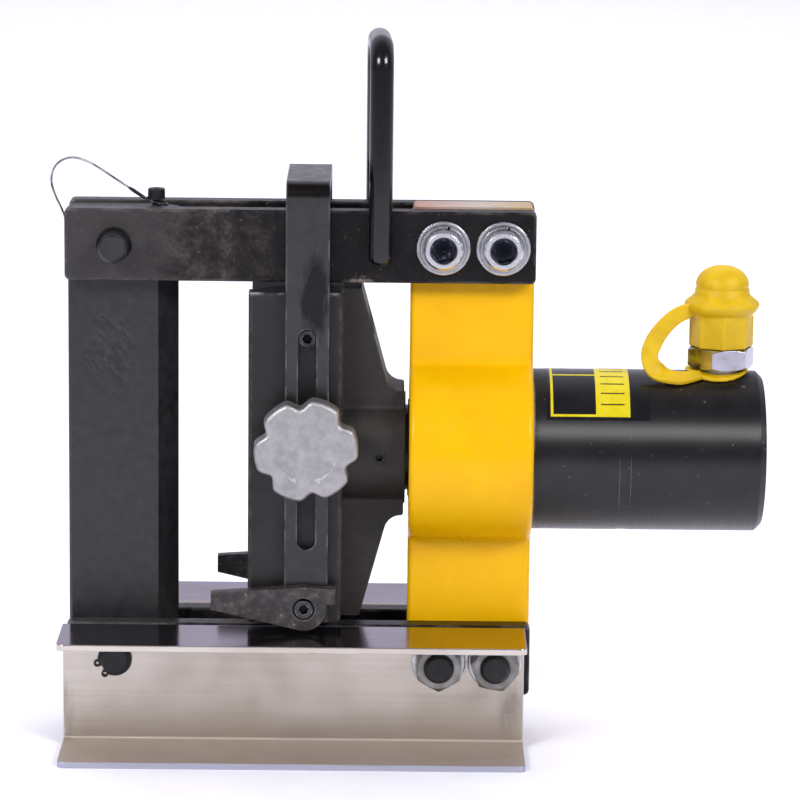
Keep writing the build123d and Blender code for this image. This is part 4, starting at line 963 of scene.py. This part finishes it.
def knob_marks():
    shape = bmesh.new()
    for start, turn in ((200, mark_sweep), (340, -mark_sweep)):
        middle = Matrix.Translation((stirrup_x, knob_front, knob_z))
        size = Matrix.Diagonal((mark_width, 2 * mark_rise, 1, 1))
        stand = Matrix.Rotation(radians(-start), 4, "Y") @ Matrix.Translation((mark_radius, 0, 0)) @ size
        square = bmesh.ops.create_grid(
            shape, x_segments=1, y_segments=1, size=0.5, matrix=middle @ stand
        )["verts"]
        faces = list({face for corner in square for face in corner.link_faces})
        edges = list({edge for face in faces for edge in face.edges})
        bmesh.ops.spin(
            shape,
            geom=[*square, *edges, *faces],
            cent=(stirrup_x, 0, knob_z),
            axis=(0, -1, 0),
            angle=radians(turn),
            steps=12,
        )
        tip = radians(start + turn * 1.12)
        ahead = tip + (pi / 2 if turn > 0 else -pi / 2)
        out = Matrix.Translation((mark_radius * cos(tip), 0, mark_radius * sin(tip)))
        head = middle @ out @ Matrix.Rotation(pi / 2, 4, "X") @ Matrix.Rotation(ahead, 4, "Z")
        corners = bmesh.ops.create_circle(
            shape, cap_ends=True, segments=3, radius=mark_head, matrix=head
        )["verts"]
        bmesh.ops.translate(shape, vec=(0, mark_rise, 0), verts=corners)
        raised(shape, list(corners[0].link_faces), (0, -2 * mark_rise, 0))
    return closed_up(shape)


add_piece("knob_turn_marks", knob_marks(), knob_cast, "knob")


# Threads on the bolt ends that stand out of the nuts
thread_pitch = 2 * mm
thread_rise = 0.35 * mm
thread_core = 7 * mm
thread_cut = 0.1 * mm
base_nut_face = -43 * mm
base_bolt_end = 2.2 * mm
top_nut_face = 39.5 * mm
top_bolt_end = 2.6 * mm


def thread_end(shape, x, z, start, way, length):
    """Rings of a thread round a bolt end along Y, closed on the inside and added to a bmesh."""
    turns = round(length / (thread_pitch / 2))
    radii = [bolt_radius + (thread_rise if at % 2 else -thread_cut) for at in range(turns + 1)]
    along = [start + way * at * thread_pitch / 2 for at in range(turns + 1)]
    outline = [(thread_core, along[0]), *zip(radii, along), (thread_core, along[-1])]
    profile = [shape.verts.new((x + radius, y, z)) for radius, y in outline]
    edges = [shape.edges.new(pair) for pair in zip(profile, profile[1:] + profile[:1])]
    full_turn(shape, profile, edges, (x, 0, z), (0, 1, 0), 48)


def bolt_threads(places, z, start, way, length):
    """The thread ends of a row of bolts."""
    shape = bmesh.new()
    for x in places:
        thread_end(shape, x, z, start, way, length)
    return closed_up(shape)


base_threads = bolt_threads(base_bolt_x, lower_z, base_nut_face, -1, base_bolt_end)
add_piece("base_bolt_threads", base_threads, screw_black, "frame")
top_threads = bolt_threads(top_bolt_x, upper_z, top_nut_face, 1, top_bolt_end)
add_piece("top_bolt_threads", top_threads, zinc, "frame")


# Carrying handle: a round bar bent tight at both top corners, a little twisted, with rounded leg ends
handle_bar = 6.5 * mm
handle_bend = 12 * mm
handle_low = 279.4 * mm
handle_top = 394.3 * mm
leg_depth = 30.3 * mm
front_leg_x = handle_x + 0.6 * mm
rear_leg_x = handle_x - 1.3 * mm
bend_steps = 10
end_steps = 5
end_round = 4.5 * mm


def handle_places():
    """Place matrices along the bar from the front leg's end over the top to the rear leg's end."""
    corner_z = handle_top - handle_bend
    corner_y = leg_depth - handle_bend
    route = [(-leg_depth, handle_low), (-leg_depth, corner_z)]
    for side in (-1, 1):
        for step in range(1, bend_steps):
            turn = pi / 2 * (step / bend_steps if side < 0 else 1 - step / bend_steps)
            route.append((side * (corner_y + handle_bend * cos(turn)), corner_z + handle_bend * sin(turn)))
        if side < 0:
            route += [(-corner_y, handle_top), (corner_y, handle_top)]
    route += [(leg_depth, corner_z), (leg_depth, handle_low)]
    places = []
    for at, (y, z) in enumerate(route):
        share = (y + leg_depth) / (2 * leg_depth)
        ahead = route[min(at + 1, len(route) - 1)]
        behind = route[max(at - 1, 0)]
        way = (0, ahead[0] - behind[0], ahead[1] - behind[1])
        places.append(framed((front_leg_x + share * (rear_leg_x - front_leg_x), y, z), (1, 0, 0), way))
    return places


def leg_end(place, way):
    """Smaller and smaller places past a leg's end, for its rounded edge."""
    ends = []
    for step in range(1, end_steps + 1):
        turn = pi / 2 * step / end_steps
        size = 1 - (1 - cos(turn)) * end_round / handle_bar
        rise = Matrix.Translation((0, 0, way * end_round * sin(turn)))
        ends.append(place @ rise @ Matrix.Diagonal((size, size, 1, 1)))
    return ends


bar = handle_places()
bar = [*leg_end(bar[0], -1)[::-1], *bar, *leg_end(bar[-1], 1)]
handle_shape = swept_bar(bar, handle_bar, 40)
add_piece("bent_bar_handle", handle_shape, handle_black, "frame", "carry_handle")


# Return spring inside the tube: a round wire helix in the place of the CAD spring
spring_low, spring_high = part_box("return_spring")
spring_wire = 3 * mm
spring_turns = 7
spring_steps = 32


def spring_places():
    """Place matrices along the helix."""
    reach = (spring_high[2] - spring_low[2]) / 2 - spring_wire
    run = spring_high[0] - spring_low[0] - 2 * spring_wire
    rise = run / (2 * pi * spring_turns)
    places = []
    for step in range(spring_turns * spring_steps + 1):
        turn = 2 * pi * step / spring_steps
        middle = (spring_low[0] + spring_wire + rise * turn, reach * sin(turn), axis_z + reach * cos(turn))
        places.append(framed(middle, (1, 0, 0), (rise, reach * cos(turn), -reach * sin(turn))))
    return places


spring_shape = swept_bar(spring_places(), spring_wire, 14)
spring = add_piece(
    "coiled_return_spring", spring_shape, turned_steel, "frame", "return_spring"
)
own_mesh(spring)


# Filler on top of the head between the rails: a smooth tan pad with rounded ends
pad_centre = (31.9 * mm, 0, 303.6 * mm)
pad_size = (66.6 * mm, 23.4 * mm, 2.8 * mm)
pad_corner = 2.2 * mm


def head_pad():
    shape = bmesh.new()
    size = Matrix.Translation(pad_centre) @ Matrix.Diagonal((*pad_size, 1))
    bmesh.ops.create_cube(shape, size=1, matrix=size)
    ends = [
        edge for edge in shape.edges
        if abs(edge.verts[0].co.x - edge.verts[1].co.x) < 0.1 * mm and edge.verts[0].co.z > pad_centre[2]
    ]
    bmesh.ops.bevel(
        shape, geom=ends, offset=pad_corner, segments=6, profile=0.5, affect="EDGES", material=-1
    )
    return closed_up(shape)


add_piece("head_top_filler", head_pad(), filler_tan, "frame")


# Weld beads beside the handle legs: a row of overlapping ripples in each corner
bead_radius = 2.5 * mm
bead_low = 281.5 * mm
bead_length = 18.5 * mm
bead_out = 4.4 * mm
bead_ripple = 1.85 * mm
ripple_depth = 0.35 * mm
bead_gap = 0.8 * mm
bead_steps = 60


def weld_bead(shape, x, y):
    """One upright bead, turned from its rippled outline and added to a bmesh."""
    profile = []
    for at in range(bead_steps + 1):
        rise = at / bead_steps
        bulge = sqrt(max(0.0, 1 - (2 * rise - 1) ** 8))
        ripple = ripple_depth * abs(sin(pi * rise * bead_length / bead_ripple))
        reach = (bead_radius - ripple_depth + ripple) * bulge
        profile.append(shape.verts.new((x + reach, y, bead_low + rise * bead_length)))
    edges = [shape.edges.new(pair) for pair in zip(profile, profile[1:])]
    full_turn(shape, profile, edges, (x, y, 0), (0, 0, 1), 20)


def weld_beads():
    shape = bmesh.new()
    for side in (-1, 1):
        for rail in (-1, 1):
            weld_bead(shape, handle_x + side * bead_out, rail * (bar_face + bead_gap))
    return closed_up(shape)


add_piece("rippled_weld_beads", weld_beads(), weld_black, "frame", "handle_weld_beads")

# Floor and lights
floor_half = 20
floor_shape = bmesh.new()
bmesh.ops.create_grid(floor_shape, x_segments=1, y_segments=1, size=floor_half)
paper = plain_grain("matt_white_paper", "EFEEF6", "F3F2FA", 40, 0.9)
floor = add_piece("floor", floor_shape, paper)


def add_softbox(name, at, towards, size, power, spread=pi, seen=True):
    """A rectangular studio light; one that isn't seen gives no mirror image of itself."""
    data = bpy.data.lights.new(name, "AREA")
    data.shape = "RECTANGLE"
    data.size, data.size_y = size
    data.energy = power
    data.spread = spread
    light = bpy.data.objects.new(name, data)
    bpy.context.collection.objects.link(light)
    light.location = at
    light.rotation_euler = (Vector(towards) - Vector(at)).to_track_quat("-Z", "Y").to_euler()
    light.visible_glossy = seen


machine = (0, 0, 0.2)
front_box = {"towards": machine, "size": (1.0, 0.7), "power": 10, "spread": radians(90)}
add_softbox("left_softbox", (-1.37, -1.76, 1.54), **front_box)
add_softbox("right_softbox", (1.49, -1.66, 1.54), **front_box)
add_softbox("top_softbox", (0.0, 1.0, 2.6), towards=(0, 0.4, 0), size=(3.0, 3.0), power=50, seen=False)
add_softbox("back_softbox", (0.0, 4.2, 3.0), towards=(0, 4.0, 0), size=(4.0, 3.0), power=90, seen=False)

# Surroundings: a cool white wall behind the machine and a dim room in front of it and above
world = bpy.data.worlds.new("studio")
bpy.context.scene.world = world
world.use_nodes = True
sky = world.node_tree
way = add_node(sky, "TexCoord").outputs["Generated"]
backwards = add_node(sky, "SeparateXYZ", (way,)).outputs["Y"]
strength = add_node(sky, "MapRange", (backwards, 0.05, 0.5, 0.30, 0.82))
set_inputs(sky.nodes["Background"], {"Color": linear("EAE8FA"), "Strength": strength})
bpy.context.scene.view_settings.view_transform = "Standard"
